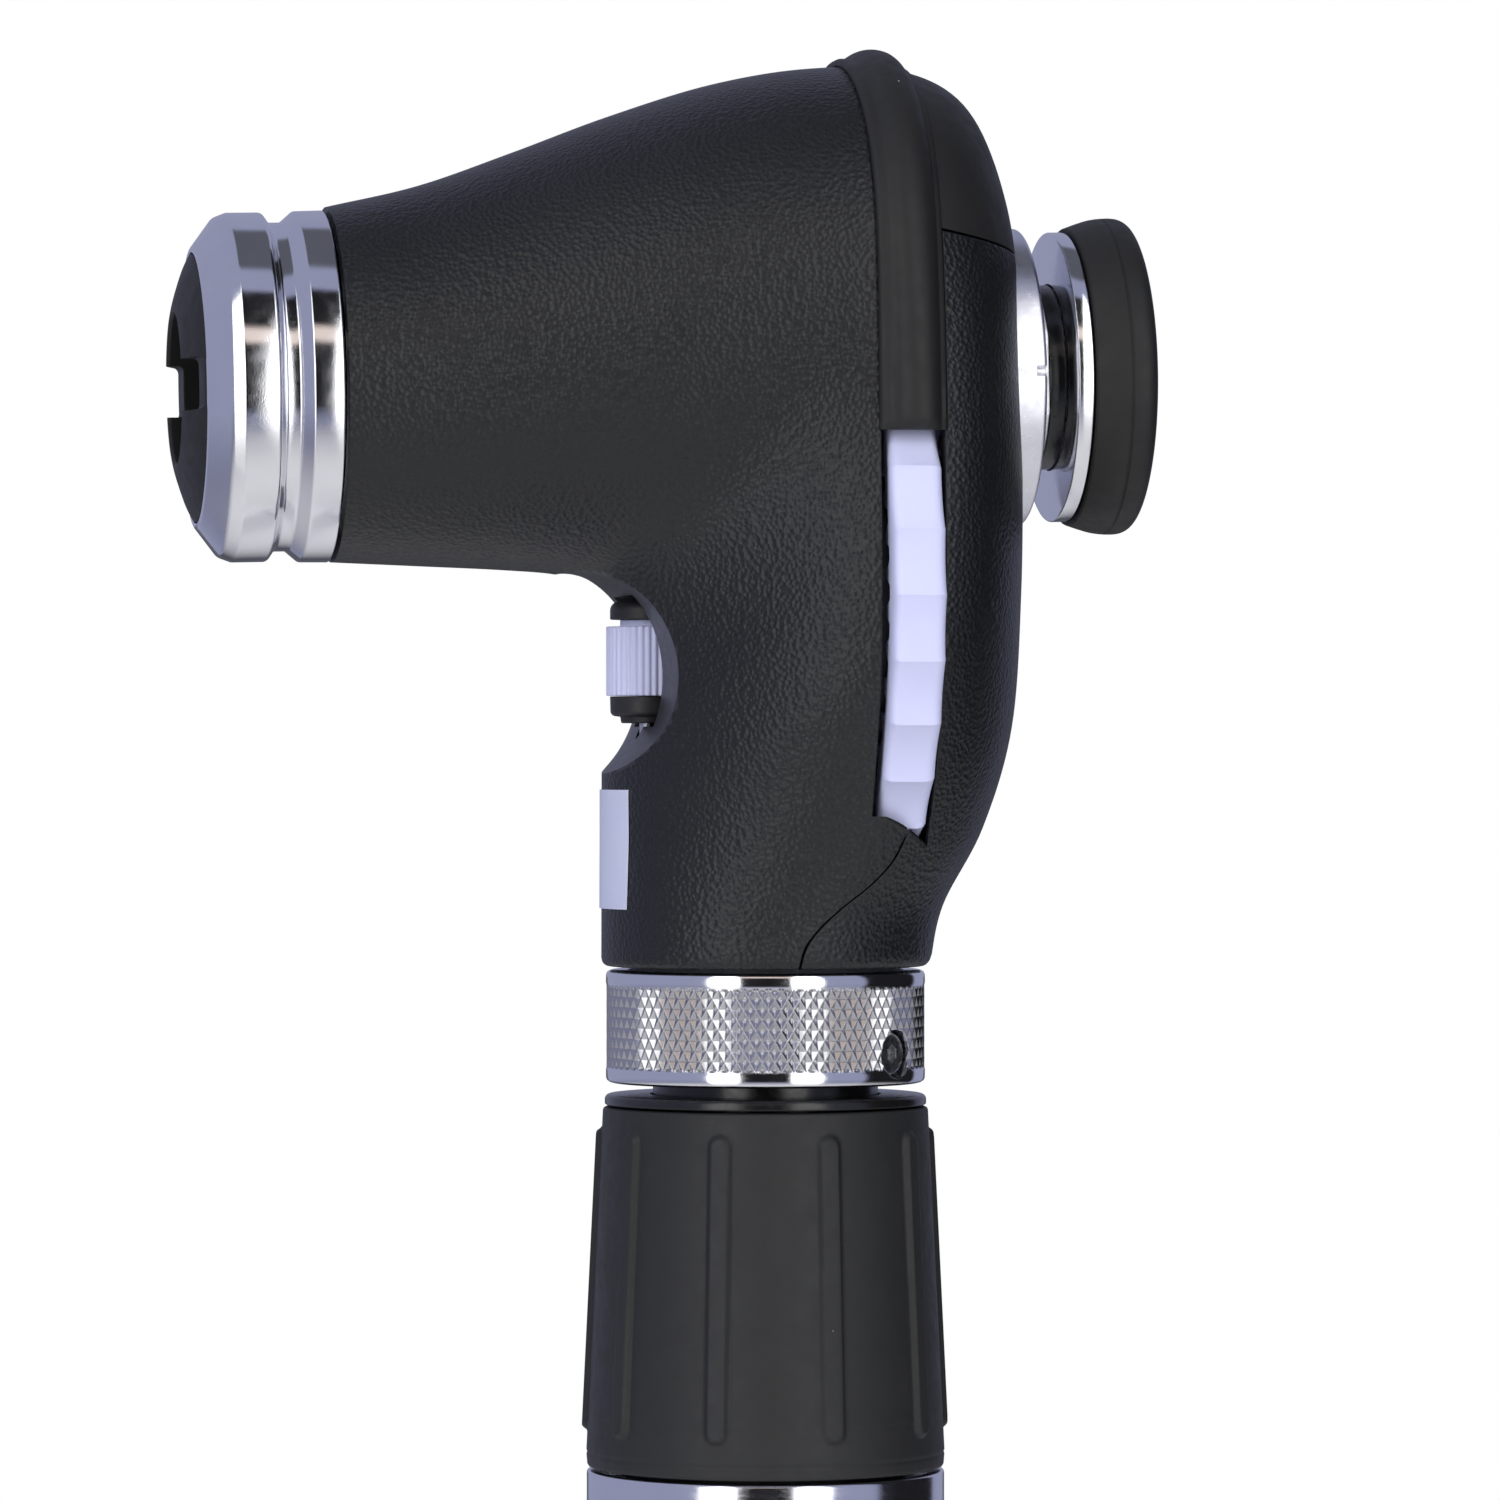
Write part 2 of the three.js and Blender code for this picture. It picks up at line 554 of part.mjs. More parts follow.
function lightPath() {
  add('light_tube', turnedZ([
    [3.6, 159.9], [5.4, 159.9], [5.4, 182.8], [4.6, 182.8], [4.6, 173.6], [3.6, 173.6], [3.6, 159.9],
  ], COARSE), blackPlastic);
  const condenser = [[0, 174.0], [3.0, 174.2], [4.3, 174.8], [4.3, 176.2], [3.0, 176.8], [0, 177.2]];
  add('condenser_lens', turnedZ(condenser, COARSE), lensGlass);
  const centre = apertureCentre();
  const plate = solid(box(-5.4, 9.0, -8.5, 8.5, 183.2, 185.2));
  const beam = solid(turnedZ(rod(3.2, 180, 190), COARSE));
  const post = solid(turnedZ(rod(1.2, 184.5, 188.4), 20).translate(centre, 0, 0));
  add('aperture_bracket', geometryOf(plate.subtract(beam).add(post)), satinAluminium);
  const projection = [[0, 189.4], [3.0, 189.6], [4.4, 190.2], [4.4, 191.2], [3.0, 191.8], [0, 192.2]];
  add('projection_lens', turnedZ(projection, COARSE), lensGlass);
  add('projection_lens_holder', turnedZ(ring(4.7, 5.9, 188.9, 192.6), COARSE), blackPlastic);
}

// ---------------------------------------------------------------- head: aperture dial and wheel
function apertureCentre() {
  return DIAL_X + ((DIAL_TEETH + APERTURE_TEETH) * DIAL_MODULE) / 2;
}

function apertureDial() {
  add('aperture_dial', turnedZ([
    [1.1, 172.1], [2.4, 172.1], [3.2, 172.8], [3.4, 173.6], [3.4, 174.2], [DIAL_RADIUS, 174.3],
    [DIAL_RADIUS, 180.2], [2.6, 180.2], [2.6, 180.7], [3.3, 180.7], [3.3, 181.6], [2.6, 182.4],
    [1.1, 182.4], [1.1, 172.1],
  ], COARSE).translate(DIAL_X, 0, 0), lavenderPlastic);
  const root = (DIAL_TEETH * DIAL_MODULE) / 2 - 0.75;
  const tip = (DIAL_TEETH * DIAL_MODULE) / 2 + 0.5;
  const teeth = new THREE.Shape(gearOutline(DIAL_TEETH, DIAL_MODULE, root, tip, Math.PI / DIAL_TEETH));
  const pinion = solid(extrude(teeth, APERTURE_WHEEL_BOTTOM - GAP, APERTURE_WHEEL_TOP + GAP));
  const axle = solid(turnedZ(rod(0.8, 169.6, 188.6), 16));
  add('dial_axle', geometryOf(pinion.add(axle).translate(DIAL_X, 0, 0)), springSteel);
}

function apertureWheel() {
  const pitch = (APERTURE_TEETH * DIAL_MODULE) / 2;
  const outline = gearOutline(APERTURE_TEETH, DIAL_MODULE, pitch - 0.75, pitch + 0.5, Math.PI);
  const shape = new THREE.Shape(outline);
  const openings = [2.4, 1.9, 1.4, 0.9, 0.6, 2.0];
  const beamRadius = apertureCentre();
  openings.forEach((radius, i) => {
    const angle = Math.PI + (i * 2 * Math.PI) / openings.length;
    const hole = new THREE.Path();
    hole.absarc(beamRadius * Math.cos(angle), beamRadius * Math.sin(angle), radius, 0, 2 * Math.PI, true);
    shape.holes.push(hole);
  });
  const bore = new THREE.Path();
  bore.absarc(0, 0, 1.5, 0, 2 * Math.PI, true);
  shape.holes.push(bore);
  const wheel = closed(extrude(shape, APERTURE_WHEEL_BOTTOM, APERTURE_WHEEL_TOP, 5));
  add('aperture_wheel', wheel.translate(apertureCentre(), 0, 0), satinAluminium);
}

// ---------------------------------------------------------------- head: focusing wheel, screw and carriage
function scallopedRim() {
  const points = [];
  const perScallop = 3;
  for (let i = 0; i < WHEEL_SCALLOPS * perScallop; i += 1) {
    const angle = (i * 2 * Math.PI) / (WHEEL_SCALLOPS * perScallop);
    const radius = WHEEL_RADIUS - 0.3 * (1 + Math.cos(angle * WHEEL_SCALLOPS));
    points.push(new THREE.Vector2(radius * Math.cos(angle), radius * Math.sin(angle)));
  }
  return points;
}

function focusWheel() {
  const pitch = (WHEEL_TEETH * WHEEL_MODULE) / 2;
  const shape = new THREE.Shape(scallopedRim());
  const phase = FOCUS_PINION_ANGLE * degrees;
  const teeth = gearOutline(WHEEL_TEETH, WHEEL_MODULE, pitch + 0.85, pitch - 0.55, phase);
  shape.holes.push(new THREE.Path(teeth));
  const wheel = alongX(extrude(shape, WHEEL_LEFT, WHEEL_RIGHT));
  add('focus_wheel', wheel.translate(0, 0, WHEEL_Z), lavenderPlastic);
}

function focusScrewPlace() {
  const distance = ((WHEEL_TEETH - FOCUS_PINION_TEETH) * WHEEL_MODULE) / 2;
  const angle = FOCUS_PINION_ANGLE * degrees;
  return { y: distance * Math.sin(angle), z: WHEEL_Z + distance * Math.cos(angle) };
}

function focusScrew() {
  const place = focusScrewPlace();
  const pitch = (FOCUS_PINION_TEETH * WHEEL_MODULE) / 2;
  const phase = FOCUS_PINION_ANGLE * degrees + Math.PI / FOCUS_PINION_TEETH;
  const outline = gearOutline(FOCUS_PINION_TEETH, WHEEL_MODULE, pitch - 0.9, pitch + 0.6, phase);
  const shape = new THREE.Shape(outline);
  const bore = new THREE.Path();
  bore.absarc(0, 0, 1.2, 0, 2 * Math.PI, true);
  shape.holes.push(bore);
  const pinion = alongX(extrude(shape, WHEEL_LEFT + GAP, WHEEL_RIGHT - GAP));
  add('focus_pinion', pinion.translate(0, place.y, place.z), brass);
  const screw = turnedX([
    [0, -19.3], [0.9, -19.3], [0.9, -17.0], [FOCUS_SCREW_RADIUS, -17.0], [FOCUS_SCREW_RADIUS, 2.7],
    [0.9, 2.7], [0.9, 11.2], [0, 11.2],
  ], 20);
  add('focus_screw', screw.translate(0, place.y, place.z), springSteel);
}

function lensCarriage() {
  const place = focusScrewPlace();
  const left = -11.8;
  const right = -8.2;
  let cell = solid(turnedX(rod(7.2, left, right), 24).translate(0, 0, CARRIAGE_Z));
  for (const side of [-1, 1]) {
    const boss = turnedX(rod(2.6, left, right), 14).translate(0, side * place.y, place.z);
    const web = box(left, right, 5.8, place.y, -1.6, 1.6);
    web.rotateX(Math.atan2(place.z - CARRIAGE_Z, place.y)).rotateZ(side < 0 ? Math.PI : 0);
    web.translate(side < 0 ? left + right : 0, 0, CARRIAGE_Z);
    cell = cell.add(solid(boss)).add(solid(web));
  }
  for (const [side, radius] of [[1, FOCUS_SCREW_RADIUS + GAP], [-1, 1.0 + GAP]]) {
    const bore = turnedX(rod(radius, left - 1, right + 1), 20).translate(0, side * place.y, place.z);
    cell = cell.subtract(solid(bore));
  }
  const seat = turnedX([
    [0, left - 1], [4.6, left - 1], [4.6, left + 0.7], [5.9, left + 0.7], [5.9, right + 1], [0, right + 1],
  ], 24);
  const beamNotch = box(left - 1, right + 1, -2.4, 2.4, 190, CARRIAGE_Z - 5);
  cell = cell.subtract(solid(seat.translate(0, 0, CARRIAGE_Z))).subtract(solid(beamNotch));
  add('lens_carriage', geometryOf(cell), blackPlastic);
  const lens = turnedX([
    [0, -11.0], [4.0, -10.8], [5.6, -10.5], [5.6, -9.4], [4.0, -9.0], [0, -8.7],
  ], 20);
  add('focus_lens', lens.translate(0, 0, CARRIAGE_Z), lensGlass);
  const rail = turnedX(rod(1.0, -19.3, 5.0), 16).translate(0, -place.y, place.z);
  add('guide_rail', rail, springSteel);
}

function bulkheads() {
  const place = focusScrewPlace();
  const screwHole = solid(turnedX(rod(0.9 + GAP, -25, 15), 16).translate(0, place.y, place.z));
  const railHole = solid(turnedX(rod(1.0 + GAP, -25, 15), 16).translate(0, -place.y, place.z));
  const front = solid(turnedX(ring(6.5, 13.6, -19.4, -17.6), 28).translate(0, 0, CARRIAGE_Z));
  add('front_bulkhead', geometryOf(front.subtract(screwHole).subtract(railHole)), satinAluminium);
  const rearDisc = solid(turnedX(ring(3.2, 12.4, 3.3, 5.2), 28).translate(0, 0, CARRIAGE_Z));
  const lensRoom = solid(box(0, 10, -15, 15, 180, 193.2));
  const rear = rearDisc.subtract(screwHole).subtract(railHole).subtract(lensRoom);
  add('rear_bulkhead', geometryOf(rear), satinAluminium);
}

function mirror() {
  const middle = 195.6;
  const reach = 1.9;
  const thick = 0.7;
  add('mirror', prismY([
    [reach, middle - reach], [-reach, middle + reach], [-reach + thick, middle + reach + thick],
    [reach + thick, middle - reach + thick],
  ], 2.8), mirrorSilver);
  const lift = thick + GAP * 1.5;
  const back = 3.0;
  add('mirror_holder', prismY([
    [back, middle + 2 * lift - back], [lift - reach, middle + reach + lift], [back, middle + reach + lift],
  ], 2.8), satinAluminium);
}

// Steadies the wheel from inside its bore. The upper part is left open for the light path and the pinion.
function wheelGuide() {
  const points = [];
  const steps = 30;
  const open = 48 * degrees;
  for (const radius of [19.0, 20.1]) {
    const row = [];
    for (let i = 0; i <= steps; i += 1) {
      const angle = open + ((2 * Math.PI - 2 * open) * i) / steps;
      row.push(new THREE.Vector2(radius * Math.cos(angle), radius * Math.sin(angle)));
    }
    points.push(...(radius < 20 ? row : row.reverse()));
  }
  const guide = alongX(extrude(new THREE.Shape(points), WHEEL_LEFT - 0.3, WHEEL_RIGHT - 1.0));
  add('wheel_guide', guide.translate(0, 0, WHEEL_Z), greyPlastic);
}

// ---------------------------------------------------------------- head: housing pieces
function housings() {
  const dialRoom = solid(box(-15, -5.7, -5.2, 5.2, 171.6, 182.8));
  const axleRoom = solid(turnedZ(rod(1.1, 168.6, 190), 16).translate(DIAL_X, 0, 0));
  const front = shell.subtract(rearRegion(-0.15)).subtract(dialRoom).subtract(axleRoom)
    .subtract(wheelRoom).subtract(slotRoom);
  add('front_housing', largestBody(front), blackPlastic);

  const behind = shell.intersect(rearRegion(0.15));
  const browPrism = solid(prismY([
    [0, SLOT_HEAD + GAP], [SLOT_REAR_X + 0.4, SLOT_HEAD + GAP], [SLOT_REAR_X + 0.4, BROW_FOOT],
    [40, BROW_FOOT], [40, 240], [0, 240],
  ], 40));
  const browKeepOut = solid(prismY([
    [0, SLOT_HEAD], [SLOT_REAR_X + 0.7, SLOT_HEAD], [SLOT_REAR_X + 0.7, BROW_FOOT - GAP],
    [41, BROW_FOOT - GAP], [41, 241], [0, 241],
  ], 41));
  const cover = behind.subtract(browKeepOut).subtract(slotRoom).subtract(wheelRoom).subtract(flangeRoom);
  add('rear_cover', largestBody(cover), blackPlastic);

  const proud = housingSolid(-BROW_PROUD, 1, 28).subtract(hollow);
  const band = proud.intersect(solid(box(SPLIT_X + 0.15, SLOT_REAR_X + 0.4, -40, 40, SLOT_HEAD + GAP, 240)));
  const brow = behind.intersect(browPrism).add(band).subtract(wheelRoom).subtract(flangeRoom);
  add('brow_rest', largestBody(brow), blackRubber);
}

// The biggest connected piece of a cut solid, without loose crumbs left by the cut.
function largestBody(manifold) {
  const pieces = manifold.decompose();
  pieces.sort((a, b) => volumeOf(b) - volumeOf(a));
  return geometryOf(pieces[0]);
}

function volumeOf(manifold) {
  const mesh = manifold.getMesh();
  return Math.abs(signedVolume(mesh.vertProperties, mesh.triVerts));
}

function labelPlate() {
  const inner = housingSolid(-GAP / 2, 1, 28);
  const outer = housingSolid(-GAP / 2 - 0.3, 1, 28);
  const window = solid(box(-20, LABEL_EDGE_X, -20, 20, 156.0, 166.2));
  add('label_plate', largestBody(outer.subtract(inner).intersect(window)), whiteLabel);
}

// ---------------------------------------------------------------- head: patient end
function patientEnd() {
  add('front_ring', turnedX([
    [11.75, -49.5], [13.2, -48.8], [14.3, -47.75], [14.87, -46.85], [14.87, -43.65], [14.1, -43.05],
    [14.1, -41.85], [14.5, -41.25], [15.0, -40.66], [15.0, -38.25], [12.9, -38.25], [12.9, -34.0],
    [11.3, -34.0], [11.3, -47.0], [11.75, -47.0], [11.75, -49.5],
  ]), chrome, sight);
  let bezel = solid(turnedX([
    [11.4, -47.3], [11.4, -49.55], [10.4, -50.0], [9.0, -50.5], [7.7, -50.9], [6.8, -51.1], [6.2, -50.7], [7.0, -47.3],
    [11.4, -47.3],
  ], 32));
  for (const side of [-1, 1]) {
    const notch = box(-53, -49.6, side * 9.2 - 3.6, side * 9.2 + 3.6, -2.2, 2.2);
    bezel = bezel.subtract(solid(notch));
  }
  add('front_bezel', geometryOf(bezel), blackPlastic, sight);
  add('objective_cell', turnedX([
    [8.0, -46.4], [11.0, -46.4], [11.0, -36.0], [9.2, -36.0], [9.2, -45.2], [8.0, -45.2], [8.0, -46.4],
  ], 24), blackPlastic, sight);
  add('objective_lens', turnedX([
    [0, -44.6], [4.5, -44.2], [8.9, -42.8], [8.9, -41.2], [4.5, -39.9], [0, -39.4],
  ], 24), lensGlass, sight);
}

// ---------------------------------------------------------------- head: practitioner end
function practitionerEnd() {
  add('eyepiece_flange', turnedX([
    [8.1, 16.0], [12.9, 16.0], [12.9, 21.8], [12.6, 22.1], [8.1, 22.1], [8.1, 16.0],
  ]), satinAluminium, sight);
  let neck = solid(turnedX([
    [6.2, 14.5], [7.8, 14.5], [7.8, 22.4], [8.3, 22.4], [8.3, 24.5], [7.8, 24.6], [7.8, 27.6], [6.2, 27.6],
    [6.2, 14.5],
  ], 24));
  for (const side of [-1, 1]) {
    neck = neck.subtract(solid(box(22.4, 24.5, side * 9.5 - 2, side * 9.5 + 2, -9, 9)));
  }
  add('eyepiece_neck', geometryOf(neck), satinAluminium, sight);
  add('eyepiece_ring', turnedX([
    [8.1, 24.9], [12.6, 24.9], [12.8, 25.1], [12.8, 26.0], [12.6, 26.1], [8.1, 26.1], [8.1, 24.9],
  ]), chrome, sight);
  add('eyecup', turnedX([
    [8.1, 26.4], [12.8, 26.4], [13.3, 28.0], [13.74, 29.8], [13.6, 31.1], [13.0, 31.7], [12.1, 31.86],
    [10.6, 31.8], [9.4, 31.2], [8.9, 30.2], [8.5, 28.6], [8.1, 28.0], [8.1, 26.4],
  ]), blackRubber, sight);
  add('eyepiece_lens', turnedX([
    [0, 22.2], [3.6, 22.5], [5.9, 23.2], [5.9, 24.6], [3.6, 25.5], [0, 25.9],
  ], 20), lensGlass, sight);
}

handleBarrel();
endCap();
battery();
rheostat();
brightnessSleeve();
lockButton();
handleTop();
collar();
bayonetSocket();
lamp();
lightPath();
apertureDial();
apertureWheel();
focusWheel();
focusScrew();
lensCarriage();
bulkheads();
mirror();
wheelGuide();
housings();
labelPlate();
patientEnd();
practitionerEnd();

export default model;
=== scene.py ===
"""The looks of a hand-held ophthalmoscope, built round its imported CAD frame.

Lengths here are millimetres, in the frame's own axes: +Z up the handle, +X towards the eyecup. They become
metres only when a mesh is made. Angles round the handle run from -Y, which faces the camera, towards +X.
"""

import json
import math

import bmesh
import bpy
from mathutils import Matrix, Vector
from mathutils.bvhtree import BVHTree


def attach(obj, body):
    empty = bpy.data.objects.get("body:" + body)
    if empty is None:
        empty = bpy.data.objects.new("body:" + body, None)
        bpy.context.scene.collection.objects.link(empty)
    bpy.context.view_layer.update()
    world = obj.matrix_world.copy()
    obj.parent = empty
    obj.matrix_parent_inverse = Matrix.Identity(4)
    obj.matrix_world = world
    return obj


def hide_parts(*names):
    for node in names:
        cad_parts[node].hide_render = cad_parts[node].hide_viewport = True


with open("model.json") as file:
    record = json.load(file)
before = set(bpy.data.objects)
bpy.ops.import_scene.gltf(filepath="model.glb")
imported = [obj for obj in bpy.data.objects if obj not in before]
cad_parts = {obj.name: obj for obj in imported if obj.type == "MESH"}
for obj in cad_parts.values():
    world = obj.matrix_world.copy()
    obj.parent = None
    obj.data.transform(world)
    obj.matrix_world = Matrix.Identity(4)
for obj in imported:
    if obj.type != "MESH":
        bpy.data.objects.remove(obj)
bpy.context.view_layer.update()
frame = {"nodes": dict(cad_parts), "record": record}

MM = 0.001

# ---- camera
CAMERA_AZIMUTH = -10.0  # degrees round the object from straight in front, towards -X
CAMERA_DISTANCE = 646.5
CAMERA_LENS = 180.0
CAMERA_SENSOR = 36.0
CAMERA_TARGET = (-1.31, 0.23, 169.6)

# ---- handle
BARREL_RADIUS = 15.4
BARREL_BORE = 14.4
CAP_HEIGHT = 9.0
BARREL_TOP = 107.7
SLEEVE_BOTTOM = 108.0
SLEEVE_TOP = 138.9
SLEEVE_BOTTOM_RADIUS = 15.5
SLEEVE_TOP_RADIUS = 14.0
RIB_COUNT = 9
RIB_PITCH = 37.7  # degrees
RIB_FIRST = -138.8  # degrees
RIB_HALF_WIDTH = 1.15
RIB_PROUD = 0.5
RIB_FOOT = 110.9
RIB_HEAD = 137.2
LIP_Z = 109.2
PARTING_Z = 112.2
LOCK_BUTTON_ANGLE = 202.0  # degrees
LOCK_BUTTON_Z = 132.0
CAP_FLUTES = 12
FLUTE_LOW = 2.2
FLUTE_HIGH = 7.8
FLUTE_END = 0.9

# ---- bayonet and collar
BOSS_RADIUS = 9.7
BOSS_TOP = 147.0
LUG_COUNT = 3
LUG_RADIUS = 10.9
LUG_Z = 144.8
LUG_HEIGHT = 1.8
LUG_ARC = 36.0  # degrees
RING_RADIUS = 13.85
COLLAR_RADIUS = 13.75
COLLAR_BORE = 11.9
COLLAR_BOTTOM = 141.0
COLLAR_TOP = 150.7
KNURL_COLUMNS = 80
KNURL_ROWS = 4
KNURL_BOTTOM = 142.3
KNURL_TOP = 149.4
KNURL_DEPTH = 0.34
SET_SCREW_Z = 143.7
SET_SCREW_ANGLE = 45.1  # degrees
SET_SCREW_HOLE = 2.1

# ---- housing
WALL = 1.8
SPLIT_X = 6.1
SLOT_REAR_X = 11.4
SLOT_FOOT = 164.0
SLOT_HEAD = 196.4
BROW_FOOT_LEFT = 213.2
BROW_FOOT_RIGHT = 211.3
BROW_SLOPE_END = 23.0
CLEAR = 41.0  # further out than the housing, for the regions that divide it
CLEAR_TOP = 241.0
SEAM = 0.22  # width of the joint lines
BAND_REACH = 21.0  # about how far the raised band lies from its middle
BAND_END = 0.9  # length over which its ends are lower
SCOOP_AXIS_X = 73.5
SCOOP_RADIUS = 90.5
SCOOP_DEPTH = 7.0
SCOOP_HALF_HEIGHT = 9.0
SCOOP_Z = 175.8
SCOOP_WALL = 1.5
NECK_FOOT_ROUNDING = 0.7
# Near x, near z, far x, far z, half-width, and how far the widest place leans to the far end.
SECTIONS = [
    (-37.6, 185.6, -38.2, 215.9, 15.15, 0.0),
    (-30.0, 185.3, -30.3, 217.8, 15.8, 0.0),
    (-22.8, 185.0, -22.3, 220.7, 17.0, 0.02),
    (-18.0, 184.6, -14.0, 223.9, 18.4, 0.05),
    (-15.4, 183.6, -5.0, 226.8, 19.6, 0.1),
    (-14.5, 181.8, 3.5, 228.3, 20.2, 0.16),
    (-14.2, 179.6, 11.5, 228.2, 20.7, 0.22),
    (-14.17, 177.2, 17.1, 225.0, 21.1, 0.28),
    (-14.17, 174.6, 20.35, 217.0, 21.6, 0.33),
    (-14.17, 171.8, 21.5, 207.0, 22.1, 0.36),
    (-14.17, 168.6, 21.65, 195.5, 22.5, 0.36),
    (-14.17, 165.2, 21.6, 183.5, 21.9, 0.34),
    (-14.17, 161.6, 21.05, 171.8, 19.0, 0.26),
    (-14.17, 158.2, 18.7, 163.0, 16.4, 0.14),
    (-14.15, 154.6, 15.3, 156.3, 14.8, 0.04),
    (-14.15, 151.0, 14.15, 151.0, 14.15, 0.0),
]
# The joint between front housing and rear cover, from the foot of the slot down across the neck: x, z.
NECK_JOINT = [(9.4, 164.0), (9.2, 162.5), (8.2, 160.2), (6.4, 158.2), (3.9, 156.2), (2.0, 154.4), (0.8, 152.6),
              (0.3, 150.0)]

# ---- label
LABEL_BOTTOM = 156.0
LABEL_TOP = 166.2
LABEL_HALF_ANGLE = 23.2  # degrees
LABEL_THICKNESS = 0.12
LABEL_LIFT = 0.05

# ---- line of sight
SIGHT_Z = 201.4
SIGHT_TILT = math.radians(1.2)
FLANGE_HOLE_RADIUS = 13.2

# ---- wheels
WHEEL_Z = 182.5
WHEEL_RADIUS = 25.0
WHEEL_LEFT = 6.65
WHEEL_RIGHT = 11.0
WHEEL_SCALLOPS = 28
WHEEL_SCALLOP_DEPTH = 0.6
WHEEL_TEETH = 42
WHEEL_TOOTH_ROOT = 21.85
WHEEL_TOOTH_TIP = 20.45
PINION_ANGLE = math.radians(35.0)
DIAL_X = -10.2
DIAL_WINDOW = (5.2, 171.6, 182.8, -5.7)  # half-width, foot, head, back
DIAL_WINDOW_FRONT = -15.0  # outside the housing
AXLE_HOLE_RADIUS = 1.1
DIAL_RIBS = 38
DIAL_RADIUS = 3.66

ROUND = 144  # steps round a large turned piece


# ==== shape helpers
def spline(points, steps):
    """Points along a Catmull-Rom curve through the given ones, tuples of any length."""
    last = len(points) - 1
    result = []
    for i in range(last):
        ends = [points[min(max(i + k, 0), last)] for k in (-1, 0, 1, 2)]
        for step in range(steps):
            result.append(tuple(catmull_rom(*values, step / steps) for values in zip(*ends)))
    result.append(tuple(points[-1]))
    return result


def catmull_rom(p0, p1, p2, p3, t):
    square = t * t
    curve = 2 * p1 + (p2 - p0) * t + (2 * p0 - 5 * p1 + 4 * p2 - p3) * square
    return 0.5 * (curve + (3 * p1 - p0 - 3 * p2 + p3) * square * t)


def rounded(corners, steps=5):
    """A closed outline from corners of (across, along, fillet radius)."""
    outline = []
    count = len(corners)
    for i, (across, along, fillet) in enumerate(corners):
        here = Vector((across, along))
        to_before = Vector(corners[i - 1][:2]) - here
        to_after = Vector(corners[(i + 1) % count][:2]) - here
        if fillet <= 0:
            outline.append((across, along))
            continue
        half = to_before.angle(to_after) / 2
        reach = min(fillet / math.tan(half), to_before.length * 0.49, to_after.length * 0.49)
        radius = reach * math.tan(half)
        middle = (to_before.normalized() + to_after.normalized()).normalized()
        centre = here + middle * (radius / math.sin(half))
        start = here + to_before.normalized() * reach - centre
        end = here + to_after.normalized() * reach - centre
        first = math.atan2(start.y, start.x)
        sweep = (math.atan2(end.y, end.x) - first + math.pi) % (2 * math.pi) - math.pi
        for step in range(steps + 1):
            angle = first + sweep * step / steps
            outline.append((centre.x + radius * math.cos(angle), centre.y + radius * math.sin(angle)))
    return outline


def about_z(radius, height, angle):
    return Vector((radius * math.sin(angle), -radius * math.cos(angle), height))


def about_dial(radius, height, angle):
    return about_z(radius, height, angle) + Vector((DIAL_X, 0, 0))


def on_sight(x, y, z):
    """A place in the tilted frame of the line of sight."""
    cosine, sine = math.cos(SIGHT_TILT), math.sin(SIGHT_TILT)
    return Vector((x * cosine - z * sine, y, SIGHT_Z + x * sine + z * cosine))


def about_sight(radius, height, angle):
    return on_sight(height, -radius * math.cos(angle), radius * math.sin(angle))


def about_wheel(radius, x, angle):
    return Vector((x, radius * math.sin(angle), WHEEL_Z + radius * math.cos(angle)))


def about_radius(angle, z):
    """Placing round a radius of the handle, at this angle in degrees and this height."""
    turn = Matrix.Rotation(math.radians(angle), 3, "Z")

    def place(across, along, around):
        return turn @ Vector((across * math.sin(around), -along, z + across * math.cos(around)))

    return place


def in_place(x, y, z):
    return Vector((x, y, z))


def mesh_object(name, points, faces):
    """A mesh object from points in millimetres, with its faces pointing out."""
    mesh = bpy.data.meshes.new(name)
    mesh.from_pydata([tuple(Vector(p) * MM) for p in points], [], faces)
    shape = bmesh.new()
    shape.from_mesh(mesh)
    bmesh.ops.recalc_face_normals(shape, faces=shape.faces)
    shape.to_mesh(mesh)
    shape.free()
    piece = bpy.data.objects.new(name, mesh)
    bpy.context.scene.collection.objects.link(piece)
    return piece


def turned(name, outline, place=about_z, steps=ROUND, radius_at=None):
    """A piece turned from an outline of (radius, height). Points on the axis become poles; an outline that
    misses the axis closes on itself. radius_at(radius, height, angle) can shape the turning."""
    poles = [abs(radius) < 1e-6 for radius, _ in outline]
    points = []
    rows = []
    for (radius, height), pole in zip(outline, poles):
        row = []
        for step in range(1 if pole else steps):
            angle = step * 2 * math.pi / steps
            shaped = radius_at(radius, height, angle) if radius_at else radius
            row.append(len(points))
            points.append(place(shaped, height, angle))
        rows.append(row)
    faces = []
    pairs = list(zip(rows, rows[1:]))
    if not any(poles):
        pairs.append((rows[-1], rows[0]))
    for low, high in pairs:
        for step in range(steps):
            after = (step + 1) % steps
            if len(low) == 1:
                faces.append((low[0], high[after], high[step]))
            elif len(high) == 1:
                faces.append((low[step], low[after], high[0]))
            else:
                faces.append((low[step], low[after], high[after], high[step]))
    return mesh_object(name, points, faces)


def rod(radius, low, high):
    return [(0, low), (radius, low), (radius, high), (0, high)]


def box_piece(name, low, high, place=in_place):
    corners = [place(x, y, z) for x in (low[0], high[0]) for y in (low[1], high[1]) for z in (low[2], high[2])]
    faces = [(0, 1, 3, 2), (4, 6, 7, 5), (0, 4, 5, 1), (2, 3, 7, 6), (0, 2, 6, 4), (1, 5, 7, 3)]
    return mesh_object(name, corners, faces)


